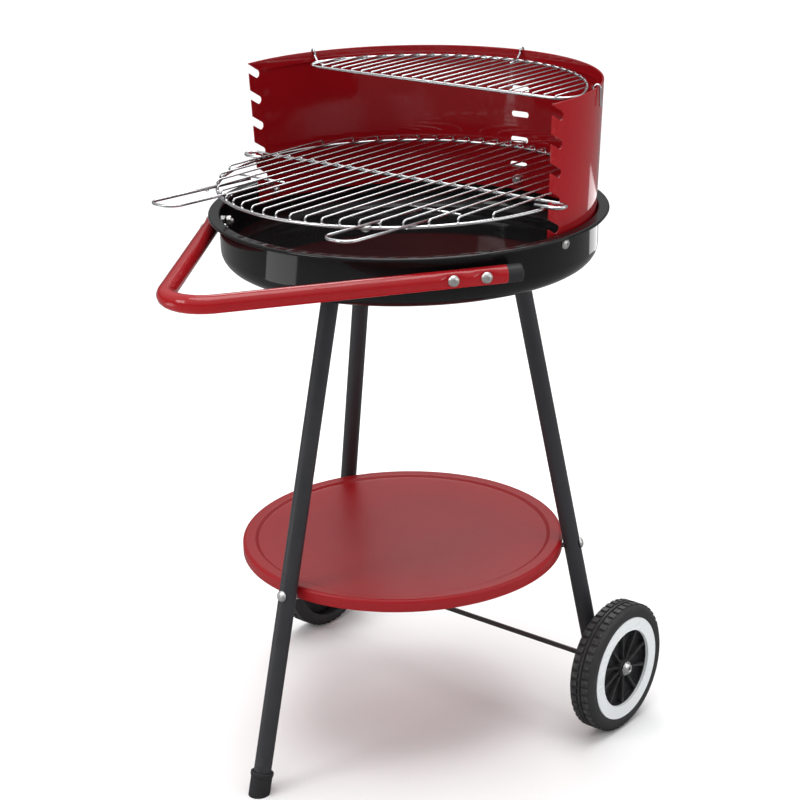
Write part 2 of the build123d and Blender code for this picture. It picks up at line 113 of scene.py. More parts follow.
class GrillSizes(bpy.types.PropertyGroup):
    """Sizes of the grill's details, beyond those that the frame fixes."""

    sheet: FloatProperty(
        name="Bowl Sheet", description="Thickness of the bowl's pressed steel",
        default=1.2 * MM, min=0.5 * MM, max=3 * MM, unit="LENGTH")
    lathe_steps: IntProperty(
        name="Round Steps", description="Facets round the bowl and the shelf",
        default=192, min=48, max=384)
    wire_sides: IntProperty(
        name="Wire Sides", description="Facets round each chromed wire",
        default=12, min=6, max=24)
    dimple: FloatProperty(
        name="Tube Dimple", description="How far the push handle is pressed in at each bolt",
        default=2.2 * MM, min=0, max=4 * MM, unit="LENGTH")
    tread_depth: FloatProperty(
        name="Tread Depth", description="Height of the ribs on the wheels' tread",
        default=2.0 * MM, min=0, max=3 * MM, unit="LENGTH")
    tread_ribs: IntProperty(
        name="Tread Ribs", description="Ribs round each row of the tread",
        default=48, min=12, max=72)
    hub_fins: IntProperty(
        name="Hub Fins", description="Fins round each wheel's hub",
        default=10, min=4, max=16)


class GrillColours(bpy.types.PropertyGroup):
    """Base colours of the grill's finishes."""

    red: FloatVectorProperty(
        name="Red Enamel", description="Colour of the wind shield and the shelf",
        default=(0.33, 0.006, 0.010), subtype="COLOR", min=0, max=1)
    handle_red: FloatVectorProperty(
        name="Red Coat", description="Colour of the push handle",
        default=(0.36, 0.008, 0.012), subtype="COLOR", min=0, max=1)
    black: FloatVectorProperty(
        name="Black Enamel", description="Colour of the fire bowl",
        default=(0.006, 0.006, 0.0065), subtype="COLOR", min=0, max=1)
    grey: FloatVectorProperty(
        name="Leg Grey", description="Colour of the legs' coating",
        default=(0.028, 0.0285, 0.032), subtype="COLOR", min=0, max=1)
    white: FloatVectorProperty(
        name="Ring White", description="Colour of the wheels' rings",
        default=(0.78, 0.81, 0.82), subtype="COLOR", min=0, max=1)


# ---- mesh work ----

def deselect():
    """Leave edit mode and deselect every object."""
    if bpy.context.object and bpy.context.object.mode != "OBJECT":
        bpy.ops.object.mode_set(mode="OBJECT")
    bpy.ops.object.select_all(action="DESELECT")


def choose(*objects):
    """Select these objects alone, with the first one active."""
    deselect()
    for obj in objects:
        obj.select_set(True)
    bpy.context.view_layer.objects.active = objects[0]


def open_piece(name):
    """A new mesh with nothing in it yet, open in edit mode."""
    deselect()
    bpy.ops.mesh.primitive_plane_add(size=MM)
    piece = bpy.context.object
    piece.name = name
    piece.data.name = name
    bpy.ops.object.mode_set(mode="EDIT")
    bpy.ops.mesh.select_mode(type="VERT")
    bpy.ops.mesh.select_all(action="SELECT")
    bpy.ops.mesh.delete(type="VERT")
    return piece


def tidy_mesh():
    """Merge doubles and turn the faces of the open mesh outwards."""
    bpy.ops.mesh.select_all(action="SELECT")
    bpy.ops.mesh.remove_doubles(threshold=1e-6)
    bpy.ops.mesh.normals_make_consistent(inside=False)


def pick_faces(piece, test):
    """Select the faces of the open mesh for which test(centre, normal) is true."""
    bpy.ops.mesh.select_mode(type="FACE")
    bpy.ops.mesh.select_all(action="DESELECT")
    mesh = bmesh.from_edit_mesh(piece.data)
    for face in mesh.faces:
        face.select_set(bool(test(face.calc_center_median(), face.normal)))
    bmesh.update_edit_mesh(piece.data)


def close_piece(piece, finish, body, *nodes, crease=30, slot=None):
    """Leave edit mode, smooth the piece, give it its finish and tie it to the frame."""
    if piece.mode == "EDIT":
        tidy_mesh()
        bpy.ops.mesh.select_mode(type="VERT")
    choose(piece)
    bpy.ops.object.shade_smooth_by_angle(angle=math.radians(crease))
    piece.data.materials.clear()
    piece.data.materials.append(bpy.data.materials[finish + "_finish"])
    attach(piece, body)
    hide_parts(*nodes)


def apply_modifier(piece, kind, **settings):
    """Add a modifier to the piece and apply it."""
    choose(piece)
    modifier = piece.modifiers.new(kind, kind)
    for key, value in settings.items():
        setattr(modifier, key, value)
    bpy.ops.object.modifier_apply(modifier=modifier.name)


def soften(piece, width, segments=2, angle=40):
    """Round the sharp edges of a piece with a small bevel."""
    apply_modifier(piece, "BEVEL", width=width, segments=segments, limit_method="ANGLE",
                   angle_limit=math.radians(angle), harden_normals=False)


def push(step):
    """Extrude what is selected in the open mesh along a step."""
    bpy.ops.mesh.extrude_region_move(TRANSFORM_OT_translate={"value": step})


def swell(factor, centre):
    """Scale what is selected in the open mesh about a centre."""
    bpy.ops.transform.resize(value=(factor, factor, factor), center_override=centre)


def sweep_round(angle, steps, centre, axis):
    """Spin what is selected in the open mesh by the right-hand turn about an axis."""
    bpy.ops.mesh.spin(steps=steps, angle=-angle, center=centre, axis=axis)


def facing(direction):
    """The turn that points a primitive's own Z axis along a direction."""
    return direction.to_track_quat("Z", "Y").to_euler()


def seated(seat, outward):
    """The place of a part modelled on its own Z axis, seated on a point and pointing outward."""
    return Matrix.Translation(seat) @ outward.to_track_quat("Z", "Y").to_matrix().to_4x4()


def add_disc(centre, direction, radius, sides):
    """A filled circle in the open mesh, selected alone."""
    bpy.ops.mesh.select_all(action="DESELECT")
    bpy.ops.mesh.primitive_circle_add(vertices=sides, radius=radius, fill_type="NGON",
                                      location=centre, rotation=facing(direction))


def round_corners(points, radii, steps=5, hold=0.4):
    """An outline with its inner corners turned into arcs, with a hold point beside each arc."""
    points = [Vector(point) for point in points]
    rounded = [points[0]]
    for before, corner, after, radius in zip(points, points[1:], points[2:], radii):
        if radius <= 0:
            rounded.append(corner)
            continue
        along = (corner - before).normalized()
        onward = (after - corner).normalized()
        turn = along.angle(onward)
        cut = radius * math.tan(turn / 2)
        inward = (onward - along * along.dot(onward)).normalized()
        start = corner - along * cut
        centre = start + inward * radius
        if (start - rounded[-1]).length > 2 * hold:
            rounded.append(start - along * hold)
        for index in range(steps + 1):
            phase = turn * index / steps
            rounded.append(centre - inward * radius * math.cos(phase) + along * radius * math.sin(phase))
        finish = corner + onward * cut
        if (after - finish).length > 2 * hold:
            rounded.append(finish + onward * hold)
    rounded.append(points[-1])
    return rounded


def sheet_outline(skin, thickness, steps=4):
    """The closed outline of a sheet from one skin of (radius, height) points, with a round free edge."""
    skin = [Vector(point) for point in skin]
    other = []
    for index, point in enumerate(skin):
        before = skin[max(index - 1, 0)]
        after = skin[min(index + 1, len(skin) - 1)]
        run = Vector((0, 0))
        for near, far in ((before, point), (point, after)):
            if (far - near).length > 1e-6:
                run += (far - near).normalized()
        run.normalize()
        other.append(point + Vector((-run.y, run.x)) * thickness)
    last = (skin[-1] - skin[-2]).normalized()
    middle = (skin[-1] + other[-1]) / 2
    arm = skin[-1] - middle
    edge = []
    for index in range(1, steps):
        phase = math.pi * index / steps
        edge.append(middle + arm * math.cos(phase) + last * arm.length * math.sin(phase) * 0.8)
    return skin + edge + other[::-1]


def draw_outline(points):
    """A run of edges in the open mesh, each vertex extruded from the last, selected alone."""
    bpy.ops.mesh.select_all(action="DESELECT")
    bpy.ops.mesh.primitive_circle_add(vertices=3, radius=MM, location=points[0])
    bpy.ops.mesh.merge(type="CENTER")
    for near, far in zip(points, points[1:]):
        if (far - near).length > 1e-7:
            push(far - near)
    bpy.ops.mesh.select_linked()


def lathe(outline, foot, axis, across, steps, angle=TURN, closed=True):
    """Spin an outline of (radius, height) points, in millimetres, about an axis through foot."""
    outline = list(outline) + ([outline[0]] if closed else [])
    points = [foot + across * (radius * MM) + axis * (height * MM) for radius, height in outline]
    draw_outline(points)
    sweep_round(angle, steps, foot, axis)


def turn_master(outline, steps, closed=False):
    """Spin an outline about the Z axis into a master that stands at the origin."""
    lathe(outline, Vector(), UP, RIGHTWARD, steps, closed=closed)
    tidy_mesh()


def run_wire(points, radii, diameter, sides, stride=None, nose=0.3):
    """A round bar in the open mesh: a disc carried along straight runs and spun round each bend."""
    radius = diameter / 2
    nose = radius * nose
    heading = (points[1] - points[0]).normalized()
    shrink = 0.72 if nose else 1.0
    add_disc(points[0], heading, radius * shrink, sides)
    at = points[0]
    if nose:
        at = at + heading * nose
        push(heading * nose)
        swell(1 / shrink, at)

    def walk(finish):
        gap = finish - at
        if gap.length < 1e-6:
            return
        count = max(1, round(gap.length / stride)) if stride else 1
        for _ in range(count):
            push(gap / count)

    for before, corner, after, bend in zip(points, points[1:], points[2:], radii):
        heading = (corner - before).normalized()
        onward = (after - corner).normalized()
        turn = heading.angle(onward)
        cut = bend * math.tan(turn / 2)
        start = corner - heading * cut
        walk(start)
        inward = (onward - heading * heading.dot(onward)).normalized()
        sweep_round(turn, max(3, round(turn / 0.22)), start + inward * bend,
                    heading.cross(onward).normalized())
        at = corner + onward * cut
        heading = onward
    heading = (points[-1] - points[-2]).normalized()
    walk(points[-1] - heading * nose)
    if nose:
        push(heading * nose)
        swell(shrink, points[-1])


def place_copies(master, places):
    """One piece made of copies of a master, each with its own mesh, set at the given places."""
    made = []
    for place in places:
        choose(master)
        bpy.ops.object.duplicate(linked=False)
        copy = bpy.context.object
        copy.matrix_world = place
        made.append(copy)
    choose(*made)
    if len(made) > 1:
        bpy.ops.object.join()
    bpy.ops.object.transform_apply(location=True, rotation=True, scale=True)
    bpy.data.objects.remove(master)
    return made[0]


def rename(piece, name):
    """Name a piece and its mesh."""
    piece.name = name
    piece.data.name = name
    return piece


def set_copies(master, places, name, finish, node_name):
    """Copies of a master set at the given places, as one fixed piece of the grill."""
    close_piece(rename(place_copies(master, places), name), finish, "root", node_name)


def cut_away(piece, cutter):
    """Subtract a cutter from a piece and throw the cutter away."""
    apply_modifier(piece, "BOOLEAN", operation="DIFFERENCE", object=cutter, solver="EXACT")
    bpy.data.objects.remove(cutter)


# ---- fastener masters ----

BOLT_R = 3.0
HEAD_R = 6.0
HEAD_H = 3.4
NUT_FLATS = 10.0
NUT_H = 4.5
THREAD_PITCH = 1.0
THREAD_DEPTH = 0.35
LONG_THREAD = 12.0
BOLT_PROUD = 2.0
NUT_REACH = NUT_FLATS * 0.6
SEAT_GAP = 0.05


def threaded_outline(length, thread):
    """The shank's outline from under the head to its threaded end."""
    points = [(BOLT_R, 0.0), (BOLT_R, -(length - thread))]
    height = -(length - thread)
    while height - THREAD_PITCH > -length + 0.4:
        points += [(BOLT_R - THREAD_DEPTH, height - THREAD_PITCH / 2), (BOLT_R, height - THREAD_PITCH)]
        height -= THREAD_PITCH
    return points + [(BOLT_R - 0.6, -length), (0.0, -length)]


def model_bolt(length, thread):
    """A domed bolt with a cross recess, standing on its own Z axis with its seat at the origin."""
    bolt = open_piece("bolt_master")
    dome = [(0.0, HEAD_H), (1.6, HEAD_H - 0.08), (3.1, HEAD_H - 0.42), (4.4, HEAD_H - 1.05),
            (5.4, HEAD_H - 1.95), (5.9, HEAD_H - 2.75), (HEAD_R, HEAD_H - 3.1), (HEAD_R, 0.15),
            (HEAD_R - 0.15, 0.0)]
    turn_master(dome + threaded_outline(length, thread), 28)
    cutter = open_piece("recess_cutter")
    bpy.ops.mesh.primitive_cube_add(size=1.15 * MM, location=(0, 0, (HEAD_H + 0.6) * MM))
    bpy.ops.transform.resize(value=(1, 1, 3.2), center_override=(0, 0, (HEAD_H + 0.6) * MM))
    pick_faces(cutter, lambda centre, normal: abs(normal.z) < 0.5)
    bpy.ops.mesh.extrude_faces_move(TRANSFORM_OT_shrink_fatten={"value": 1.7 * MM})
    tidy_mesh()
    deselect()
    cut_away(bolt, cutter)
    return bolt


def model_nut():
    """A hexagon nut with turned-off corners, standing on its own Z axis with its seat at the origin."""
    nut = open_piece("nut_master")
    corner = NUT_FLATS / 2 / math.cos(math.pi / 6)
    add_disc(Vector(), UP, corner * MM, 6)
    push(UP * NUT_H * MM)
    tidy_mesh()
    bore = open_piece("bore_cutter")
    add_disc(Vector((0, 0, -MM)), UP, (BOLT_R + 0.1) * MM, 24)
    push(UP * (NUT_H + 2) * MM)
    tidy_mesh()
    deselect()
    cut_away(nut, bore)
    turned = open_piece("corner_cutter")
    turn_master([(0, -1), (corner - 1.1, -1), (corner - 0.55, 0), (corner + 0.05, 0.55),
                 (corner + 0.05, NUT_H - 0.55), (corner - 0.55, NUT_H), (corner - 1.1, NUT_H + 1),
                 (0, NUT_H + 1)], 48, closed=True)
    deselect()
    apply_modifier(nut, "BOOLEAN", operation="INTERSECT", object=turned, solver="EXACT")
    bpy.data.objects.remove(turned)
    return nut


def weld_beads(spots, radius):
    """Small flattened weld beads in the open mesh, one at each spot."""
    for centre in spots:
        bpy.ops.mesh.select_all(action="DESELECT")
        bpy.ops.mesh.primitive_ico_sphere_add(subdivisions=1, radius=radius, location=centre)
        bpy.ops.transform.resize(value=(1, 1, 0.6), center_override=centre)


# ---- shared effects ----

def new_effect(name, inputs, outputs):
    """A shader node group with its input sockets and output sockets, by name."""
    group = bpy.data.node_groups.new(name, "ShaderNodeTree")
    for label, kind, value in inputs:
        item = group.interface.new_socket(name=label, in_out="INPUT", socket_type="NodeSocket" + kind)
        item.default_value = value
    for label, kind in outputs:
        group.interface.new_socket(name=label, in_out="OUTPUT", socket_type="NodeSocket" + kind)
    return group, group.nodes.new("NodeGroupInput").outputs, group.nodes.new("NodeGroupOutput").inputs


def put(tree, socket, value):
    """Link a socket to a socket, or set its value."""
    if isinstance(value, bpy.types.NodeSocket):
        tree.links.new(value, socket)
    else:
        socket.default_value = value


def node(tree, kind, **settings):
    """A node of a tree with its properties and inputs set; a socket given as a value is linked."""
    made = tree.nodes.new("ShaderNode" + kind)
    for key, value in settings.items():
        if key in made.inputs:
            put(tree, made.inputs[key], value)
        else:
            setattr(made, key, value)
    return made


def fill(tree, made, values):
    """Put values into a node's inputs, by their number."""
    for number, value in values.items():
        put(tree, made.inputs[number], value)


def reckon(tree, operation, *values, clamp=False):
    """A sum or product of sockets and numbers."""
    made = node(tree, "Math", operation=operation, use_clamp=clamp)
    fill(tree, made, dict(enumerate(values)))
    return made.outputs[0]


def spread(tree, value, low, high, to_low=0.0, to_high=1.0):
    """A value stretched from one range to another and held inside it."""
    made = node(tree, "MapRange")
    fill(tree, made, dict(enumerate((value, low, high, to_low, to_high))))
    return made.outputs[0]


def blend(tree, factor, colour, other):
    """A colour between two others."""
    made = node(tree, "Mix", data_type="RGBA")
    fill(tree, made, {0: factor, 6: colour, 7: other})
    return made.outputs[2]


def own_place(tree):
    """The piece's own coordinates, in metres."""
    return node(tree, "TexCoord").outputs["Object"]


def noise(tree, place, scale, detail):
    """Soft noise over a place."""
    return node(tree, "TexNoise", Vector=place, Scale=scale, Detail=detail).outputs["Fac"]


def make_peel():
    """Orange peel of a sprayed or fired coat: low soft waves."""
    group, given, result = new_effect("orange_peel", [("Scale", "Float", 300.0), ("Fine", "Float", 0.3)],
                                      [("Height", "Float")])
    place = own_place(group)
    waves = noise(group, place, given["Scale"], 1.0)
    grain = noise(group, place, reckon(group, "MULTIPLY", given["Scale"], 4.0), 2.0)
    put(group, result["Height"], reckon(group, "MULTIPLY_ADD", grain, given["Fine"], waves))


def make_gloss_drift():
    """Uneven gloss: broad drift, wiped streaks and small specks, between two roughnesses."""
    group, given, result = new_effect(
        "gloss_drift", [("Smooth", "Float", 0.1), ("Rough", "Float", 0.3), ("Scale", "Float", 9.0)],
        [("Roughness", "Float")])
    place = own_place(group)
    wiped = node(group, "Mapping", Vector=place, Rotation=(0.3, 0.5, 0.8), Scale=(30, 30, 260))
    streaks = noise(group, wiped.outputs[0], 1.0, 2.0)
    specks = noise(group, place, 900.0, 1.0)
    mixed = reckon(group, "MULTIPLY_ADD", streaks, 0.35, noise(group, place, given["Scale"], 3.0))
    mixed = reckon(group, "MULTIPLY_ADD", specks, 0.15, mixed)
    put(group, result["Roughness"], spread(group, mixed, 0.55, 0.95, given["Smooth"], given["Rough"]))


def make_tone_drift():
    """Slow change of tone between two colours, with a fine mottling."""
    group, given, result = new_effect(
        "tone_drift", [("Colour", "Color", (0.5, 0.5, 0.5, 1)), ("Other", "Color", (0.4, 0.4, 0.4, 1)),
                       ("Scale", "Float", 6.0), ("Mottle", "Float", 0.2)], [("Colour", "Color")])
    place = own_place(group)
    broad = noise(group, place, given["Scale"], 4.0)
    mixed = reckon(group, "MULTIPLY_ADD", noise(group, place, 420.0, 2.0), given["Mottle"], broad)
    tone = blend(group, spread(group, mixed, 0.35, 0.85), given["Colour"], given["Other"])
    put(group, result["Colour"], tone)


def make_worn_and_lit_edges():
    """Worn and lit edges: a mask of sharp convex edges broken up by grain, and the lighter colour that shows
    there, partly wear and partly a painted edge highlight.
    """
    group, given, result = new_effect(
        "worn_and_lit_edges", [("Colour", "Color", (0.5, 0.5, 0.5, 1)), ("Worn", "Color", (0.6, 0.6, 0.6, 1)),
                      ("Start", "Float", 0.53), ("Amount", "Float", 0.5)],
        [("Colour", "Color"), ("Mask", "Float")])
    sharp = node(group, "NewGeometry").outputs["Pointiness"]
    edge = spread(group, sharp, given["Start"], reckon(group, "ADD", given["Start"], 0.06))
    broken = spread(group, noise(group, own_place(group), 160.0, 4.0), 0.42, 0.62)
    mask = reckon(group, "MULTIPLY", reckon(group, "MULTIPLY", edge, broken), given["Amount"], clamp=True)
    # Sharp edges turn toward the lighter edge colour: partly wear, partly a painted edge highlight.
    put(group, result["Colour"], blend(group, mask, given["Colour"], given["Worn"]))
    put(group, result["Mask"], mask)


def make_dust():
    """Pale dust that settles on faces that look up."""
    group, given, result = new_effect(
        "settled_dust", [("Colour", "Color", (0.5, 0.5, 0.5, 1)), ("Dust", "Color", (0.45, 0.43, 0.4, 1)),
                         ("Amount", "Float", 0.15)], [("Colour", "Color")])
    parts = node(group, "SeparateXYZ", Vector=node(group, "NewGeometry").outputs["Normal"])
    level = spread(group, parts.outputs["Z"], -0.4, 1.0)
    patch = spread(group, noise(group, own_place(group), 55.0, 6.0), 0.35, 0.7)
    mask = reckon(group, "MULTIPLY", reckon(group, "MULTIPLY", level, patch), given["Amount"], clamp=True)
    put(group, result["Colour"], blend(group, mask, given["Colour"], given["Dust"]))


def make_scratches():
    """Fine drawn lines and handling scratches of bright metal."""
    group, given, result = new_effect("drawn_lines", [("Scale", "Float", 1.0)], [("Height", "Float")])
    place = own_place(group)
    heights = []
    for turn, stretch in (((0.2, 0.1, 0.0), (900, 14, 900)), ((0.1, 0.7, 1.1), (14, 800, 800))):
        laid = node(group, "Mapping", Vector=place, Rotation=turn, Scale=stretch)
        heights.append(noise(group, laid.outputs[0], given["Scale"], 1.0))
    put(group, result["Height"], reckon(group, "ADD", *heights))


# ---- finishes ----

def rgba(colour):
    """A solid colour with its channels held at one."""
    return tuple(min(1.0, channel) for channel in colour[:3]) + (1.0,)


def dim(colour, factor):
    """A colour made darker or lighter by a factor."""
    return [channel * factor for channel in colour]


def use_effect(tree, name, **inputs):
    """A shared effect placed in a material with this material's own values."""
    made = tree.nodes.new("ShaderNodeGroup")
    made.node_tree = bpy.data.node_groups[name]
    for key, value in inputs.items():
        put(tree, made.inputs[key], value)
    return made


def new_finish(name, colour, other, worn_lit_colour, smooth, rough, metal=0.0, coat=0.0, coat_rough=0.05,
               peel=300.0, fine=0.3, depth=0.2, reach=0.0002, wear_and_highlight=0.5, dust=0.0,
               mottle=0.2, lines=0.0, level=0.5):
    """One material: drifting tone, worn edges with a painted edge highlight, settled dust, uneven gloss and a
    surface texture.
    """
    material = bpy.data.materials.new(name + "_finish")
    material.use_nodes = True
    tree = material.node_tree
    shader = tree.nodes["Principled BSDF"]
    tone = use_effect(tree, "tone_drift", Colour=rgba(colour), Other=rgba(other), Mottle=mottle)
    # Lighter colour on sharp edges: partly wear, partly a painted edge highlight.
    edge = use_effect(tree, "worn_and_lit_edges", Colour=tone.outputs["Colour"], Worn=rgba(worn_lit_colour),
                      Amount=wear_and_highlight)
    settled = use_effect(tree, "settled_dust", Colour=edge.outputs["Colour"], Amount=dust)
    gloss = use_effect(tree, "gloss_drift", Smooth=smooth, Rough=rough)
    texture = use_effect(tree, "orange_peel", Scale=peel, Fine=fine)
    height = texture.outputs["Height"]
    if lines:
        drawn = use_effect(tree, "drawn_lines")
        height = reckon(tree, "MULTIPLY_ADD", drawn.outputs["Height"], lines, height)
    relief = node(tree, "Bump", Strength=depth, Distance=reach, Height=height)
    put(tree, shader.inputs["Base Color"], settled.outputs["Colour"])
    put(tree, shader.inputs["Roughness"], gloss.outputs["Roughness"])
    put(tree, shader.inputs["Normal"], relief.outputs["Normal"])
    shader.inputs["Metallic"].default_value = metal
    shader.inputs["Coat Weight"].default_value = coat
    shader.inputs["Coat Roughness"].default_value = coat_rough
    shader.inputs["Specular IOR Level"].default_value = level


def make_finishes():
    """Make the shared effects and every finish of the grill."""
    for effect in (make_peel, make_gloss_drift, make_tone_drift, make_worn_and_lit_edges, make_dust, make_scratches):
        effect()
    colours = bpy.context.scene.grill_colours
    red, handle_red = colours.red, colours.handle_red
    black, grey, white = colours.black, colours.grey, colours.white
    # The third colour of each finish is its lighter edge colour: partly wear, partly a painted edge
    # highlight.
    new_finish("red_enamel", red, dim(red, 0.88), (0.45, 0.03, 0.03), 0.04, 0.10, coat=0.04,
               peel=160, fine=0.1, depth=0.06, reach=0.0003, wear_and_highlight=0.3, dust=0.004, level=0.28)
    new_finish("red_satin", red, dim(red, 0.9), (0.45, 0.03, 0.03), 0.30, 0.42, peel=380, fine=0.3,
               depth=0.12, reach=0.0003, wear_and_highlight=0.3, dust=0.004, level=0.3)
    new_finish("red_coat", handle_red, dim(handle_red, 0.85), (0.55, 0.06, 0.05), 0.09, 0.17, coat=0.1,
               coat_rough=0.06, peel=420, fine=0.3, depth=0.12, reach=0.0003, wear_and_highlight=0.4, dust=0.01, level=0.35)
    new_finish("black_enamel", black, dim(black, 1.5), (0.05, 0.05, 0.055), 0.03, 0.09, coat=0.05,
               peel=150, fine=0.1, depth=0.06, reach=0.0003, wear_and_highlight=0.4, dust=0.002, level=0.25)
    new_finish("grey_coat", grey, dim(grey, 1.3), (0.12, 0.12, 0.125), 0.32, 0.44, peel=900,
               fine=0.6, depth=0.2, reach=0.0002, wear_and_highlight=0.5, dust=0.02, level=0.3)
    new_finish("chrome_wire", (0.72, 0.72, 0.73), (0.62, 0.62, 0.64), (0.85, 0.85, 0.86), 0.10, 0.24,
               metal=1.0, peel=700, fine=0.5, depth=0.10, reach=0.0001, wear_and_highlight=0.3, lines=0.6, mottle=0.3)
    new_finish("zinc", (0.78, 0.78, 0.78), (0.68, 0.68, 0.66), (0.9, 0.9, 0.9), 0.34, 0.5, metal=1.0,
               peel=1100, fine=0.6, depth=0.16, reach=0.0001, wear_and_highlight=0.4, lines=0.8, mottle=0.4)
    new_finish("black_plastic", (0.016, 0.016, 0.018), (0.024, 0.024, 0.026), (0.05, 0.05, 0.052), 0.34, 0.52,
               peel=1500, fine=0.8, depth=0.3, reach=0.0002, wear_and_highlight=0.5, dust=0.02, level=0.3)
    new_finish("tyre_plastic", (0.024, 0.024, 0.026), (0.034, 0.034, 0.035), (0.08, 0.08, 0.08), 0.42, 0.6,
               peel=1300, fine=0.9, depth=0.35, reach=0.0002, wear_and_highlight=0.5, dust=0.03, level=0.3)
    new_finish("white_plastic", white, dim(white, 0.94), dim(white, 1.05), 0.22, 0.36,
               peel=500, fine=0.3, depth=0.12, reach=0.0002, wear_and_highlight=0.1, dust=0.03)
    new_finish("axle_steel", (0.045, 0.045, 0.047), (0.06, 0.06, 0.062), (0.35, 0.35, 0.35), 0.3, 0.45,
               metal=0.6, peel=900, fine=0.5, depth=0.2, reach=0.0001, wear_and_highlight=0.7, lines=1.0)


class GRILL_OT_finishes(bpy.types.Operator):
    """Make the grill's materials and give the frame's own pieces theirs"""

    bl_idname = "grill.finishes"
    bl_label = "Finishes"

    def execute(self, context):
        make_finishes()
        carried = frame["nodes"]["leg_top_inserts"]
        carried.data.materials.clear()
        carried.data.materials.append(bpy.data.materials["black_plastic_finish"])
        return {"FINISHED"}


# ---- bowl and wind shield ----

BOWL_R = 203.4
BOWL_CORNER = 18.0
RIM_LIP = 3.0
SHIELD_Z0 = SHIELD_LOW.z / MM
SHIELD_Z1 = SHIELD_HIGH.z / MM
SHIELD_R0 = 200.2
SHIELD_R1 = 207.5
SHIELD_END_Y = -24.0
SHIELD_GAUGE = 1.0
HEM = 12.0
NOTCH_WIDTH = 9.0
NOTCH_SLOPE = math.radians(30)
NOTCH_DEPTH = 13.0
NOTCH_Z0 = 600.0
NOTCH_PITCH = 29.0
NOTCH_COUNT = 5
SLOT_WIDTH = 24.0
SLOT_HEIGHT = 6.5
SHIELD_BOLT_Z = 582.5
SHIELD_BOLT_ANGLES = (0.5, 90.0, 179.5)


def shield_radius(z):
    """The wind shield's outer radius at a height, in millimetres."""
    return SHIELD_R0 + (SHIELD_R1 - SHIELD_R0) * (z - SHIELD_Z0) / (SHIELD_Z1 - SHIELD_Z0)


def polar(radius, angle, z):
    """A point at a radius and an angle in degrees about the bowl's axis, in millimetres."""
    turn = math.radians(angle)
    return spot(radius * math.cos(turn), radius * math.sin(turn), z)


def radial(angle):
    """The direction at an angle in degrees about the bowl's axis."""
    turn = math.radians(angle)
    return Vector((math.cos(turn), math.sin(turn), 0))


class GRILL_OT_fire_bowl(bpy.types.Operator):
    """Spin the pressed steel bowl with its flange and rolled lip"""

    bl_idname = "grill.fire_bowl"
    bl_label = "Fire Bowl"

    def execute(self, context):
        sizes = context.scene.grill_sizes
        sheet = sizes.sheet / MM
        floor, rim = FLOOR_Z / MM, RIM_Z / MM
        edge = RIM_R / MM - sheet
        bowl = open_piece("fire_bowl_pressing")
        skin = round_corners(
            [(0, floor), (60, floor), (120, floor), (BOWL_R, floor), (BOWL_R, rim - sheet),
             (edge, rim - sheet), (edge, rim - RIM_LIP)], [0, 0, BOWL_CORNER, 1.5, 1.0], steps=7)
        lathe(sheet_outline(skin, sheet), AXIS_FOOT, UP, RIGHTWARD, sizes.lathe_steps)
        close_piece(bowl, "black_enamel", "root", "fire_bowl")
        return {"FINISHED"}


def notch_cutters():
    """The slanted, round-ended notches of both shield ends, each level one long bar."""
    cutter = open_piece("notch_cutter")
    out = Vector((0, -math.cos(NOTCH_SLOPE), math.sin(NOTCH_SLOPE)))
    half = (SHIELD_R1 + 12) * MM
    for level in range(NOTCH_COUNT):
        pocket = spot(0, SHIELD_END_Y + NOTCH_DEPTH, NOTCH_Z0 + level * NOTCH_PITCH)
        start = pocket - RIGHTWARD * half
        add_disc(start, RIGHTWARD, NOTCH_WIDTH / 2 * MM, 24)
        mesh = bmesh.from_edit_mesh(cutter.data)
        for vertex in mesh.verts:
            if vertex.select and (vertex.co - start).dot(out) > -1e-7:
                vertex.co += out * NOTCH_DEPTH * 2.4 * MM
        bmesh.update_edit_mesh(cutter.data)
        push(RIGHTWARD * half * 2)
    tidy_mesh()
    deselect()
    return cutter


def level_slot_cutters():
    """The round-ended level slots at the back of the shield."""
    cutter = open_piece("slot_cutter")
    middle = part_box("grate_rear_tab")[0].z - 0.3 * MM + SLOT_HEIGHT / 2 * MM
    travel = (SLOT_WIDTH - SLOT_HEIGHT) / 2 * MM
    for level in range(NOTCH_COUNT - 1):
        centre = Vector((0, BOWL_Y + 0.19, middle + (level - 1) * NOTCH_PITCH * MM))
        add_disc(centre, REARWARD, SLOT_HEIGHT / 2 * MM, 24)
        mesh = bmesh.from_edit_mesh(cutter.data)
        for vertex in mesh.verts:
            if vertex.select:
                vertex.co.x += travel if vertex.co.x > 0 else -travel
        bmesh.update_edit_mesh(cutter.data)
        push(REARWARD * 0.03)
    tidy_mesh()
    deselect()
    return cutter


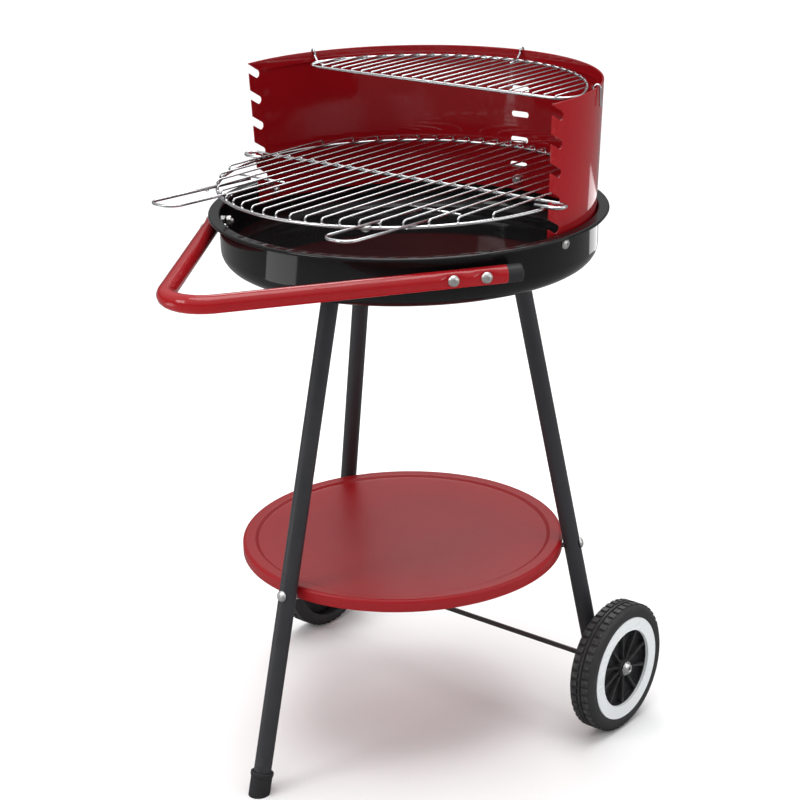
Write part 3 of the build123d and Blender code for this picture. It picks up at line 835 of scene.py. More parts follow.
class GRILL_OT_wind_shield(bpy.types.Operator):
    """Spin the half-round wind shield with its folded hem and cut its notches and slots"""

    bl_idname = "grill.wind_shield"
    bl_label = "Wind Shield"

    def execute(self, context):
        shield = open_piece("wind_shield_sheet")
        hem_z = SHIELD_Z1 - HEM
        past_half = math.asin(-SHIELD_END_Y / shield_radius(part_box("grate_crossbar")[0].z / MM + 2.0))
        fold = 2 * SHIELD_GAUGE
        outline = round_corners(
            [(shield_radius(SHIELD_Z0) - 0.4, SHIELD_Z0), (shield_radius(SHIELD_Z0), SHIELD_Z0),
             (shield_radius(600), 600), (shield_radius(660), 660), (SHIELD_R1, SHIELD_Z1),
             (SHIELD_R1 - fold, SHIELD_Z1), (shield_radius(hem_z) - fold, hem_z),
             (shield_radius(hem_z) - SHIELD_GAUGE, hem_z), (shield_radius(660) - SHIELD_GAUGE, 660),
             (shield_radius(600) - SHIELD_GAUGE, 600), (shield_radius(SHIELD_Z0) - SHIELD_GAUGE, SHIELD_Z0),
             (shield_radius(SHIELD_Z0) - 0.4, SHIELD_Z0)],
            [0.2, 0, 0, 0.95, 0.95, 0.4, 0, 0, 0, 0.2], steps=4)
        lathe(outline, AXIS_FOOT, UP, radial(-math.degrees(past_half)), 176,
              angle=math.pi + 2 * past_half, closed=False)
        tidy_mesh()
        bpy.ops.mesh.select_all(action="DESELECT")
        bpy.ops.mesh.select_mode(type="EDGE")
        bpy.ops.mesh.select_non_manifold()
        bpy.ops.mesh.fill_holes(sides=0)
        tidy_mesh()
        deselect()
        cut_away(shield, notch_cutters())
        cut_away(shield, level_slot_cutters())
        close_piece(shield, "red_enamel", "root", "wind_shield", crease=35)
        return {"FINISHED"}


class GRILL_OT_shield_fasteners(bpy.types.Operator):
    """Set the bolts and nuts that hold the wind shield to the bowl"""

    bl_idname = "grill.shield_fasteners"
    bl_label = "Shield Fasteners"

    def execute(self, context):
        inner = shield_radius(SHIELD_BOLT_Z - NUT_FLATS / 2) - SHIELD_GAUGE
        face = math.sqrt(inner ** 2 - NUT_REACH ** 2) - SEAT_GAP
        length = BOWL_R + SEAT_GAP - face + NUT_H + BOLT_PROUD
        seats = []
        nut_seats = []
        for angle in SHIELD_BOLT_ANGLES:
            seats.append(seated(polar(BOWL_R + SEAT_GAP, angle, SHIELD_BOLT_Z), radial(angle)))
            nut_seats.append(seated(polar(face, angle, SHIELD_BOLT_Z), -radial(angle)))
        set_copies(model_bolt(length, length - 3), seats, "shield_bolt_set", "zinc", "shield_bolts")
        set_copies(model_nut(), nut_seats, "shield_nut_set", "zinc", "shield_nuts")
        return {"FINISHED"}


# ---- push handle ----

HANDLE_D = 18.5
HANDLE_Z = 572.0
HANDLE_HALF_ANGLE = math.radians(34.5)
HANDLE_APEX_Y = -378.0
HANDLE_BEND = 40.0
HANDLE_BOLTS = (-19.0, 15.0)
HANDLE_END = 37.0
CAP_LENGTH = 16.5
HANDLE_R = -HANDLE_APEX_Y * math.sin(HANDLE_HALF_ANGLE)


def handle_arms():
    """For each side: the arm's point nearest the bowl, its direction rearwards and outwards."""
    arms = []
    for side in (1, -1):
        outward = Vector((side * math.cos(HANDLE_HALF_ANGLE), -math.sin(HANDLE_HALF_ANGLE), 0))
        rearward = Vector((side * math.sin(HANDLE_HALF_ANGLE), math.cos(HANDLE_HALF_ANGLE), 0))
        nearest = spot(0, 0, HANDLE_Z) + outward * HANDLE_R * MM
        arms.append((nearest, rearward, outward))
    return arms


class GRILL_OT_push_handle(bpy.types.Operator):
    """Bend the V-shaped push handle, press it in at its bolts and plug its ends"""

    bl_idname = "grill.push_handle"
    bl_label = "Push Handle"

    def execute(self, context):
        dimple = context.scene.grill_sizes.dimple
        arms = handle_arms()
        ends = [nearest + rearward * HANDLE_END * MM for nearest, rearward, _ in arms]
        tube = open_piece("handle_tube_bend")
        run_wire([ends[0], spot(0, HANDLE_APEX_Y, HANDLE_Z), ends[1]], [HANDLE_BEND * MM],
                 HANDLE_D * MM, 36, stride=2.5 * MM, nose=0)
        mesh = bmesh.from_edit_mesh(tube.data)
        seats = []
        for nearest, rearward, outward in arms:
            for offset in HANDLE_BOLTS:
                seats.append((nearest + rearward * offset * MM, rearward, outward))
        for vertex in mesh.verts:
            for centre, rearward, outward in seats:
                arm = vertex.co - centre
                along = arm.dot(rearward) / (11.5 * MM)
                across = arm.z / (6.5 * MM)
                if arm.dot(outward) > 0 and abs(along) < 1.6:
                    depth = dimple * math.exp(-(along ** 4) * 1.2 - (across ** 4) * 1.4)
                    vertex.co -= outward * depth
        bmesh.update_edit_mesh(tube.data)
        close_piece(tube, "red_coat", "root", "handle_tube", crease=50)

        cap = open_piece("cap_master")
        radius = HANDLE_D / 2
        outline = round_corners([(0, CAP_LENGTH), (radius, CAP_LENGTH), (radius, 0.3), (radius - 0.4, 0),
                                 (radius - 1.25, 0), (radius - 1.25, -9), (0, -9)],
                                [2.5, 0.2, 0, 0, 0.8], steps=6)
        turn_master(outline, 40)
        places = [seated(end + arm[1] * SEAT_GAP * MM, arm[1]) for end, arm in zip(ends, arms)]
        set_copies(cap, places, "handle_cap_pair", "black_plastic", "handle_end_caps")
        return {"FINISHED"}


class GRILL_OT_handle_fasteners(bpy.types.Operator):
    """Set the bolts and nuts that hold the push handle to the bowl"""

    bl_idname = "grill.handle_fasteners"
    bl_label = "Handle Fasteners"

    def execute(self, context):
        inner = BOWL_R - context.scene.grill_sizes.sheet / MM
        sunk = HANDLE_D / 2 - context.scene.grill_sizes.dimple / MM
        seats = []
        nut_seats = []
        faces = []
        for nearest, rearward, outward in handle_arms():
            for offset in HANDLE_BOLTS:
                centre = nearest + rearward * offset * MM
                face = math.sqrt(inner ** 2 - (abs(offset) + NUT_REACH) ** 2) - SEAT_GAP
                faces.append(face)
                seats.append(seated(centre + outward * sunk * MM, outward))
                nut_seats.append(seated(centre - outward * (HANDLE_R - face) * MM, -outward))
        length = sunk + HANDLE_R - min(faces) + NUT_H + BOLT_PROUD
        set_copies(model_bolt(length, LONG_THREAD), seats, "handle_bolt_set", "zinc", "handle_bolts")
        set_copies(model_nut(), nut_seats, "handle_nut_set", "zinc", "handle_nuts")
        return {"FINISHED"}


# ---- legs, foot cap and shelf ----

LEG_D = 19.0
LEG_WALL = 1.25
TUBE_OVERRUN = 20
AXLE_Y_MM = 83.5
LEG_LINES = {
    "leg_front": ((0.0, -130.0, 524.0), (0.0, -274.0, 0.0)),
    "leg_rear_right": ((109.2, 52.5, 524.0), (190.5, AXLE_Y_MM, WHEEL_Z / MM)),
    "leg_rear_left": ((-109.2, 52.5, 524.0), (-190.5, AXLE_Y_MM, WHEEL_Z / MM)),
}
LEG_BELOW_AXLE = 14.0
FOOT_CAP_R = 11.6
FOOT_CAP_H = 25.0
SHELF_SKIRT = 13.4
SHELF_RING = 14.0
SHELF_RECESS = 2.5
SHELF_GAUGE = 1.0
SHELF_BOLT_DROP = 7.0
SHELF_STANDOFF = 4.8
LEG_BOLT_LENGTH = 18
FOOT_THICKNESS = 4.0


def leg_axis(name):
    """A leg's point under the bowl's floor, its low point and its downward direction."""
    high, low = (spot(*point) for point in LEG_LINES[name])
    down = (low - high).normalized()
    return high + down * ((FLOOR_Z - high.z) / down.z), low, down


def shelf_seats():
    """For each leg: where the shelf's bolt crosses its axis, and the bolt's outward direction."""
    seats = []
    for name in LEG_LINES:
        top, _, down = leg_axis(name)
        height = SHELF_HIGH.z - SHELF_BOLT_DROP * MM
        cross = top + down * ((height - top.z) / down.z)
        out = Vector((cross.x, cross.y - SHELF_Y, 0)).normalized()
        seats.append((cross, (out - down * out.dot(down)).normalized()))
    return seats


class GRILL_OT_legs(bpy.types.Operator):
    """Draw the three tube legs, cut them to the bowl and plug their lower ends"""

    bl_idname = "grill.legs"
    bl_label = "Legs"

    def execute(self, context):
        plugs = []
        for name in LEG_LINES:
            top, low, down = leg_axis(name)
            front = name == "leg_front"
            end = low if front else low + down * LEG_BELOW_AXLE * MM
            leg = open_piece(name + "_tube")
            run_wire([top - down * TUBE_OVERRUN * MM, end], [], LEG_D * MM, 40, stride=45 * MM, nose=0)
            bpy.ops.mesh.select_all(action="SELECT")
            bpy.ops.mesh.bisect(plane_co=(0, 0, FLOOR_Z - SEAT_GAP * MM), plane_no=(0, 0, 1),
                                use_fill=True, clear_outer=True)
            if front:
                bpy.ops.mesh.select_all(action="SELECT")
                bpy.ops.mesh.bisect(plane_co=(0, 0, (FOOT_THICKNESS + SEAT_GAP) * MM), plane_no=(0, 0, 1),
                                    use_fill=True, clear_inner=True)
            close_piece(leg, "grey_coat", "root", name)
            if not front:
                plugs.append(seated(end, down))
        plug = open_piece("plug_master")
        radius = LEG_D / 2
        outline = round_corners(
            [(0, 2), (radius - 1, 2), (radius, 1.2), (radius, 0.02), (radius - LEG_WALL, 0.02),
             (radius - LEG_WALL, -6), (0, -6)], [0.8, 0.3, 0, 0, 0.8], steps=3)
        turn_master(outline, 40)
        set_copies(plug, plugs, "rear_leg_plug_pair", "black_plastic", "rear_leg_plugs")
        return {"FINISHED"}


class GRILL_OT_foot_cap(bpy.types.Operator):
    """Turn the front leg's foot cap and trim it flat to the ground"""

    bl_idname = "grill.foot_cap"
    bl_label = "Foot Cap"

    def execute(self, context):
        _, low, down = leg_axis("leg_front")
        cap = open_piece("foot_cap_moulding")
        inner = LEG_D / 2 + SEAT_GAP
        outline = round_corners(
            [(0, FOOT_CAP_H), (FOOT_CAP_R, FOOT_CAP_H), (FOOT_CAP_R, 4.5 - FOOT_CAP_H + 1.5),
             (FOOT_CAP_R + 0.9, 2.5 - FOOT_CAP_H + 1), (FOOT_CAP_R + 0.9, -FOOT_CAP_H), (inner, -FOOT_CAP_H),
             (inner, 1.0), (0, 1.0)], [0, 0.6, 0.5, 0.6, 0.4, 0], steps=3)
        lathe(outline, low, down, RIGHTWARD, 48, closed=False)
        tidy_mesh()
        bpy.ops.mesh.bisect(plane_co=(0, 0, 0), plane_no=(0, 0, 1), use_fill=True, clear_inner=True)
        tidy_mesh()
        deselect()
        soften(cap, 1.6 * MM, segments=4, angle=50)
        close_piece(cap, "black_plastic", "root", "foot_cap")
        return {"FINISHED"}


class GRILL_OT_shelf(bpy.types.Operator):
    """Spin the round shelf with its raised ring and skirt, and set its fasteners"""

    bl_idname = "grill.shelf"
    bl_label = "Shelf"

    def execute(self, context):
        radius, top = SHELF_R / MM, SHELF_HIGH.z / MM
        inner = radius - SHELF_RING
        shelf = open_piece("shelf_pressing")
        skin = round_corners(
            [(0, top - SHELF_RECESS), (70, top - SHELF_RECESS), (130, top - SHELF_RECESS),
             (inner - 4, top - SHELF_RECESS), (inner, top), (radius, top), (radius, top - SHELF_SKIRT)],
            [0, 0, 2.0, 2.0, 4.0], steps=6)
        lathe(sheet_outline(skin, -SHELF_GAUGE), Vector((0, SHELF_Y, 0)), UP, RIGHTWARD,
              context.scene.grill_sizes.lathe_steps)
        close_piece(shelf, "red_satin", "root", "shelf", slot="red_enamel")
        seat = LEG_D / 2 + SEAT_GAP
        reach = LEG_D / 2 + SHELF_STANDOFF
        seats = []
        nut_seats = []
        for cross, out in shelf_seats():
            seats.append(seated(cross + out * seat * MM, out))
            nut_seats.append(seated(cross - out * reach * MM, -out))
        length = seat + reach + NUT_H + BOLT_PROUD
        set_copies(model_bolt(length, LONG_THREAD), seats, "shelf_bolt_set", "zinc", "shelf_bolts")
        set_copies(model_nut(), nut_seats, "shelf_nut_set", "zinc", "shelf_nuts")
        return {"FINISHED"}


class GRILL_OT_leg_bolts(bpy.types.Operator):
    """Set the three bolts that come down through the bowl's floor into the legs"""

    bl_idname = "grill.leg_bolts"
    bl_label = "Leg Bolts"

    def execute(self, context):
        seats = []
        for name in LEG_LINES:
            top = leg_axis(name)[0]
            seat = Vector((top.x, top.y, FLOOR_Z + context.scene.grill_sizes.sheet + SEAT_GAP * MM))
            seats.append(seated(seat, UP))
        set_copies(model_bolt(LEG_BOLT_LENGTH, LONG_THREAD), seats, "leg_top_bolt_set", "zinc",
                   "leg_top_bolts")
        return {"FINISHED"}


# ---- axle and wheels ----

AXLE_D = 6.0
WHEEL_IN = 205.0
WHEEL_OUT = 235.0
WHEEL_RADIUS = WHEEL_R / MM
HUB_IN = 203.7
WEB = WHEEL_OUT - 13
TYRE_WALL = 4.0
TYRE_IN_R = 60.0
WHITE_OUT_R = 59.4
WHITE_IN_R = 44.6
HUB_R = 10.0
WASHER_IN = 201.9
SIDES = (("right", 1), ("left", -1))


def axle_places(reach):
    """A place on the axle at each side, pointing outward, at a distance from the middle."""
    return [seated(WHEEL_CENTRE + RIGHTWARD * side * reach * MM, RIGHTWARD * side) for _, side in SIDES]


class GRILL_OT_axle(bpy.types.Operator):
    """Draw the axle and set its washers and push-on caps"""

    bl_idname = "grill.axle"
    bl_label = "Axle"

    def execute(self, context):
        half = (WHEEL_OUT + 3) * MM
        axle = open_piece("axle_rod")
        run_wire([WHEEL_CENTRE - RIGHTWARD * half, WHEEL_CENTRE + RIGHTWARD * half], [],
                 (AXLE_D - SEAT_GAP) * MM, 28, stride=60 * MM)
        close_piece(axle, "axle_steel", "root", "axle")

        cap = open_piece("axle_cap_master")
        crown = [(3.0, 5.2), (4.2, 5.1), (5.4, 4.4), (6.1, 3.3), (6.4, 2.0), (6.6, 1.1), (7.2, 0.8),
                 (8.0, 0.75), (8.1, 0.4), (8.0, 0.0), (3.0, 0.0), (3.0, 3.6), (2.6, 3.9), (2.5, 4.3)]
        turn_master(crown, 36, closed=True)
        pick_faces(cap, lambda centre, normal: centre.z < 0.95 * MM and centre.xy.length > 7.6 * MM
                   and math.floor(math.atan2(centre.y, centre.x) / TURN * 36 + 36.01) % 3 == 0)
        bpy.ops.transform.translate(value=(0, 0, 0.5 * MM))
        places = axle_places(WHEEL_OUT - 1.2)
        set_copies(cap, places, "axle_cap_pair", "zinc", "axle_caps")

        washer = open_piece("washer_master")
        bore = AXLE_D / 2 + SEAT_GAP
        turn_master([(bore, 0.15), (bore + 0.15, 0), (6.8, 0), (7.0, 0.2), (7.0, 1.2), (6.8, 1.4),
                     (bore + 0.15, 1.4), (bore, 1.25)], 40, closed=True)
        places = axle_places(WASHER_IN)
        set_copies(washer, places, "washer_pair", "zinc", "axle_washers")
        return {"FINISHED"}


def model_tyre(name, side, depth, ribs):
    """A moulded tyre whose tread has a centre ridge between two rows of cross ribs."""
    tyre = open_piece(name)
    base = WHEEL_RADIUS - depth
    middle = (WHEEL_IN + WHEEL_OUT) / 2
    shoulder = [(67.0, 0), (68.2, 0.2), (70.0, 1.1), (71.6, 2.3), (base, 4.0)]
    outline = [(TYRE_IN_R, WHEEL_IN)]
    outline += [(radius, WHEEL_IN + inset) for radius, inset in shoulder]
    outline += [(base, middle + offset) for offset in (-3.2, -1.1, 1.1, 3.2)]
    outline += [(radius, WHEEL_OUT - inset) for radius, inset in reversed(shoulder)]
    outline += [(TYRE_IN_R + 0.6, WHEEL_OUT), (TYRE_IN_R, WHEEL_OUT - 0.5),
                (TYRE_IN_R, WHEEL_OUT - TYRE_WALL), (67.5, WHEEL_OUT - TYRE_WALL),
                (67.5, WHEEL_IN + TYRE_WALL), (TYRE_IN_R, WHEEL_IN + TYRE_WALL)]
    steps = ribs * 3
    lathe(outline, WHEEL_CENTRE, RIGHTWARD * side, -UP, steps)
    tidy_mesh()

    def slice_of(centre):
        turn = math.atan2(centre.y - AXLE_Y, centre.z - WHEEL_Z)
        return math.floor(turn / TURN * steps + 2 * steps)

    def on_tread(centre, low, high):
        radius = math.hypot(centre.y - AXLE_Y, centre.z - WHEEL_Z) / MM
        return abs(radius - base) < 0.3 and low < abs(centre.x) / MM < high

    ridge = (middle - 1.2, middle + 1.2, None, depth)
    inner_row = (WHEEL_IN + 3, middle - 3, 0, depth - 0.15)
    outer_row = (middle + 3, WHEEL_OUT - 3, 1, depth - 0.15)
    for low, high, groove, height in (ridge, inner_row, outer_row):
        pick_faces(tyre, lambda centre, normal: on_tread(centre, low, high)
                   and slice_of(centre) % 3 != groove)
        bpy.ops.mesh.extrude_region_shrink_fatten(TRANSFORM_OT_shrink_fatten={"value": height * MM})
    tidy_mesh()
    deselect()
    soften(tyre, 0.3 * MM, segments=1, angle=50)
    return tyre


def model_hub(name, side, fins):
    """A moulded hub: dished web, centre boss, outer seat and radial fins."""
    hub = open_piece(name)
    bore = AXLE_D / 2 + SEAT_GAP
    seat = WHEEL_OUT - TYRE_WALL
    outline = [(bore, HUB_IN), (bore, WHEEL_OUT - 2), (HUB_R - 1.2, WHEEL_OUT - 2),
               (HUB_R - 0.3, WHEEL_OUT - 2.4), (HUB_R, WHEEL_OUT - 3.2), (HUB_R + 0.3, WEB + 4.5),
               (HUB_R + 0.8, WEB + 3.4), (HUB_R + 1.8, WEB + 3), (WHITE_IN_R - 0.8, WEB + 3),
               (WHITE_IN_R, WEB + 3.8), (WHITE_IN_R, seat), (TYRE_IN_R - 0.1, seat),
               (TYRE_IN_R - 0.1, WEB), (HUB_R + 3, WEB), (HUB_R + 3, HUB_IN)]
    lathe(outline, WHEEL_CENTRE, RIGHTWARD * side, -UP, 96)
    tidy_mesh()
    fin_stations = ((HUB_R - 0.6, 1.0, WHEEL_OUT - 4.2), (16.0, 1.15, WHEEL_OUT - 4.6),
                    (38.0, 1.6, WHEEL_OUT - 4.6), (WHITE_IN_R + 0.6, 2.3, WHEEL_OUT - 4.2))
    for index in range(fins):
        turn = TURN * index / fins
        spoke = Vector((0, math.sin(turn), math.cos(turn)))
        across = Vector((0, math.cos(turn), -math.sin(turn)))
        bpy.ops.mesh.select_all(action="DESELECT")
        corners = []
        for reach, thick, crown in fin_stations:
            ring = []
            for half, x in ((-thick - 0.5, WEB + 2.5), (-thick, crown - 0.5), (-thick + 0.45, crown),
                            (thick - 0.45, crown), (thick, crown - 0.5), (thick + 0.5, WEB + 2.5)):
                offset = RIGHTWARD * side * x + spoke * reach + across * half
                ring.append(WHEEL_CENTRE + offset * MM)
            corners.append(ring)
        add_fin(hub, corners)
    return hub


def add_fin(piece, rings):
    """One fin in the open mesh, bridged through rings of points from its root to its tip."""
    mesh = bmesh.from_edit_mesh(piece.data)
    loops = []
    for ring in rings:
        loops.append([mesh.verts.new(point) for point in ring])
    for near, far in zip(loops, loops[1:]):
        for index in range(len(near)):
            after = (index + 1) % len(near)
            mesh.faces.new((near[index], near[after], far[after], far[index]))
    mesh.faces.new(loops[0])
    mesh.faces.new(loops[-1][::-1])
    bmesh.update_edit_mesh(piece.data)


class GRILL_OT_wheels(bpy.types.Operator):
    """Mould both wheels: tyre with its tread, white ring and finned hub"""

    bl_idname = "grill.wheels"
    bl_label = "Wheels"

    def execute(self, context):
        sizes = context.scene.grill_sizes
        for name, side in SIDES:
            body = "wheel_" + name
            tyre = model_tyre(body + "_tyre_moulding", side, sizes.tread_depth / MM, sizes.tread_ribs)
            close_piece(tyre, "tyre_plastic", body, body + "_tyre", crease=40)
            ring = open_piece(body + "_ring_moulding")
            back = WHEEL_OUT - TYRE_WALL + 0.1
            lathe([(WHITE_IN_R, back), (WHITE_IN_R, WHEEL_OUT - 0.5), (WHITE_IN_R + 0.5, WHEEL_OUT),
                   (WHITE_IN_R + 1.6, WHEEL_OUT), (WHITE_IN_R + 2.0, WHEEL_OUT - 0.25),
                   (WHITE_OUT_R - 2.0, WHEEL_OUT - 0.25), (WHITE_OUT_R - 1.6, WHEEL_OUT),
                   (WHITE_OUT_R - 0.5, WHEEL_OUT), (WHITE_OUT_R, WHEEL_OUT - 0.5), (WHITE_OUT_R, back)],
                  WHEEL_CENTRE, RIGHTWARD * side, -UP, 144)
            close_piece(ring, "white_plastic", body, body + "_white_ring")
            hub = model_hub(body + "_hub_moulding", side, sizes.hub_fins)
            close_piece(hub, "black_plastic", body, body + "_hub", crease=35)
        return {"FINISHED"}


# ---- cooking grate ----

GRATE_Y = -11.0
CROSSBAR_D = height_of("grate_crossbar")
GRATE_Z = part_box("grate_crossbar")[0].z / MM + CROSSBAR_D / 2
RING_D = height_of("grate_ring")
RING_R = 195.75
ROD_D = height_of("grate_grip_ties")
ROD_PITCH = 18.0
ROD_COUNT = 21
RING_Z = GRATE_Z - CROSSBAR_D / 2 - RING_D / 2 - SEAT_GAP
ROD_Z = GRATE_Z + CROSSBAR_D / 2 + ROD_D / 2 + SEAT_GAP
RING_TOP = RING_Z + RING_D / 2 + SEAT_GAP
TAB_Z = RING_TOP + ROD_D / 2
LOOP_W = 17.5
LOOP_TIP_X = 217.0
LOOP_END_X = 187.0
GRIP_X = 117.5
GRIP_W = 35.0
GRIP_TIP_Y = -253.0
GRIP_WIRE_D = 3.2
GRIP_BEND = 14.0
TIE_Y = -104.0
TIE_LENGTH = 70.0
TIE_Z = ROD_Z - ROD_D - SEAT_GAP
GRIP_Z = TIE_Z - ROD_D / 2 - GRIP_WIRE_D / 2 - 0.2


def rod_places(count, pitch):
    """The sideways places of evenly spaced rods, in millimetres."""
    first = -(count - 1) / 2 * pitch
    return [first + index * pitch for index in range(count)]


def chrome_piece(name, body, node_name, wires, beads=(), bead_r=1.6):
    """One piece of chromed wires, each given as (points, bend radii, diameter), with its weld beads."""
    sides = bpy.context.scene.grill_sizes.wire_sides
    piece = open_piece(name)
    for points, bends, diameter in wires:
        run_wire([spot(*point) for point in points], [bend * MM for bend in bends], diameter * MM, sides)
    weld_beads([spot(*bead) for bead in beads], bead_r * MM)
    close_piece(piece, "chrome_wire", body, node_name, crease=50)


class GRILL_OT_grate_ring(bpy.types.Operator):
    """Spin the cooking grate's ring with the flat of its butt weld"""

    bl_idname = "grill.grate_ring"
    bl_label = "Grate Ring"

    def execute(self, context):
        ring = open_piece("grate_ring_wire")
        centre = spot(0, GRATE_Y, RING_Z)
        add_disc(centre + REARWARD * RING_R * MM, RIGHTWARD, RING_D / 2 * MM, 14)
        bpy.ops.mesh.delete(type="ONLY_FACE")
        bpy.ops.mesh.select_all(action="SELECT")
        sweep_round(TURN, 160, centre, UP)
        weld_beads([centre + REARWARD * RING_R * MM + UP * 0.1 * MM], 2.9 * MM)
        close_piece(ring, "chrome_wire", "cooking_grate", "grate_ring", crease=50)
        return {"FINISHED"}


class GRILL_OT_grate_rods(bpy.types.Operator):
    """Bend the grate's rods down onto the ring and weld them"""

    bl_idname = "grill.grate_rods"
    bl_label = "Grate Rods"

    def execute(self, context):
        wires = []
        beads = []
        for x in rod_places(ROD_COUNT, ROD_PITCH):
            half = math.sqrt(RING_R ** 2 - x ** 2)
            front, back = GRATE_Y - half, GRATE_Y + half
            wires.append(([(x, front, RING_TOP), (x, front, ROD_Z), (x, back, ROD_Z), (x, back, RING_TOP)],
                          [3.0, 3.0], ROD_D))
            beads += [(x, front, RING_TOP), (x, back, RING_TOP)]
            if abs(x) < 185:
                beads.append((x, GRATE_Y, ROD_Z - ROD_D / 2))
        chrome_piece("grate_rod_set", "cooking_grate", "grate_rods", wires, beads, 2.0)
        return {"FINISHED"}


class GRILL_OT_grate_crossbar(bpy.types.Operator):
    """Bend the crossbar with the U-loops that hang in the shield's notches"""

    bl_idname = "grill.grate_crossbar"
    bl_label = "Grate Crossbar"

    def execute(self, context):
        bend = LOOP_W / 2 - 0.01
        back, front = GRATE_Y, GRATE_Y - LOOP_W
        points = [(-LOOP_END_X, front), (-LOOP_TIP_X, front), (-LOOP_TIP_X, back),
                  (LOOP_TIP_X, back), (LOOP_TIP_X, front), (LOOP_END_X, front)]
        chrome_piece("grate_crossbar_wire", "cooking_grate", "grate_crossbar",
                     [([(x, y, GRATE_Z) for x, y in points], [bend] * 4, CROSSBAR_D)])
        return {"FINISHED"}


class GRILL_OT_grate_grips(bpy.types.Operator):
    """Bend the grate's two wire grips, their ties and the rear tab"""

    bl_idname = "grill.grate_grips"
    bl_label = "Grate Grips"

    def execute(self, context):
        ring_y = GRATE_Y - math.sqrt(RING_R ** 2 - GRIP_X ** 2)
        slope = (RING_TOP + GRIP_WIRE_D / 2 + 0.6 - GRIP_Z) / (ring_y - TIE_Y)
        tip_z = GRIP_Z + slope * (GRIP_TIP_Y - TIE_Y)
        ties = []
        beads = []
        for name, side in (("left", -1), ("right", 1)):
            near, far = side * GRIP_X - GRIP_W / 2, side * GRIP_X + GRIP_W / 2
            points = [(near, TIE_Y + 2, GRIP_Z), (near, GRIP_TIP_Y, tip_z),
                      (far, GRIP_TIP_Y, tip_z), (far, TIE_Y + 2, GRIP_Z)]
            chrome_piece("grate_grip_" + name + "_wire", "cooking_grate", "grate_grip_" + name,
                         [(points, [GRIP_BEND, GRIP_BEND], GRIP_WIRE_D)],
                         [(x, ring_y, RING_TOP + 0.3) for x in (near, far)], 2.2)
            ties.append(([(side * GRIP_X - TIE_LENGTH / 2, TIE_Y, TIE_Z),
                          (side * GRIP_X + TIE_LENGTH / 2, TIE_Y, TIE_Z)], [], ROD_D))
            beads += [(near, TIE_Y, TIE_Z - ROD_D / 2), (far, TIE_Y, TIE_Z - ROD_D / 2)]
        chrome_piece("grate_tie_pair", "cooking_grate", "grate_grip_ties", ties, beads, 1.9)
        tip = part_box("grate_rear_tab")[1].y / MM - BOWL_Y / MM - ROD_D / 2
        start = GRATE_Y + RING_R - 14
        tab = [(-9, start, TAB_Z), (-9, tip, TAB_Z), (9, tip, TAB_Z), (9, start, TAB_Z)]
        chrome_piece("grate_rear_tab_wire", "cooking_grate", "grate_rear_tab", [(tab, [5.0, 5.0], ROD_D)],
                     [(-9, GRATE_Y + RING_R, RING_TOP), (9, GRATE_Y + RING_R, RING_TOP)], 1.9)
        return {"FINISHED"}


# ---- warming rack ----

RACK_R = 190.0
RACK_FRONT = 38.0
RACK_CORNER = 22.0
RACK_Z = 720.5
RACK_WIRE_D = height_of("rack_frame")
RACK_ROD_D = height_of("rack_rods")
RACK_ROD_PITCH = 14.4
RACK_ROD_COUNT = 24
HOOK_D = 2.6
HOOK_ANGLES = (20.0, 90.0, 160.0)
HOOK_DROP = 22.0


class GRILL_OT_rack_frame(bpy.types.Operator):
    """Spin and bend the warming rack's closed frame wire"""

    bl_idname = "grill.rack_frame"
    bl_label = "Rack Frame"

    def execute(self, context):
        piece = open_piece("rack_frame_wire")
        centre_y = RACK_FRONT + RACK_CORNER
        centre_x = math.sqrt((RACK_R - RACK_CORNER) ** 2 - centre_y ** 2)
        reach = math.atan2(centre_y, centre_x)
        joint = spot(0, RACK_FRONT, RACK_Z)
        add_disc(joint, RIGHTWARD, RACK_WIRE_D / 2 * MM, 14)
        push(RIGHTWARD * centre_x * MM)
        sweep_round(math.pi / 2 + reach, 12, spot(centre_x, centre_y, RACK_Z), UP)
        sweep_round(math.pi - 2 * reach, 64, spot(0, 0, RACK_Z), UP)
        sweep_round(math.pi / 2 + reach, 12, spot(-centre_x, centre_y, RACK_Z), UP)
        push(RIGHTWARD * centre_x * MM)
        tidy_mesh()
        pick_faces(piece, lambda centre, normal: (centre - joint).length < 0.2 * MM)
        bpy.ops.mesh.delete(type="ONLY_FACE")
        weld_beads([joint], 2.5 * MM)
        close_piece(piece, "chrome_wire", "warming_rack", "rack_frame", crease=50)
        return {"FINISHED"}


class GRILL_OT_rack_rods(bpy.types.Operator):
    """Lay the warming rack's rods on its frame and weld them"""

    bl_idname = "grill.rack_rods"
    bl_label = "Rack Rods"

    def execute(self, context):
        wires = []
        beads = []
        height = RACK_Z + RACK_WIRE_D / 2 + RACK_ROD_D / 2 + SEAT_GAP
        for x in rod_places(RACK_ROD_COUNT, RACK_ROD_PITCH):
            back = math.sqrt(RACK_R ** 2 - x ** 2) - 0.2
            wires.append(([(x, RACK_FRONT - 1, height), (x, back, height)], [], RACK_ROD_D))
            beads += [(x, RACK_FRONT, height - 1.0), (x, back - 0.6, height - 1.0)]
        chrome_piece("rack_rod_set", "warming_rack", "rack_rods", wires, beads, 1.6)
        return {"FINISHED"}


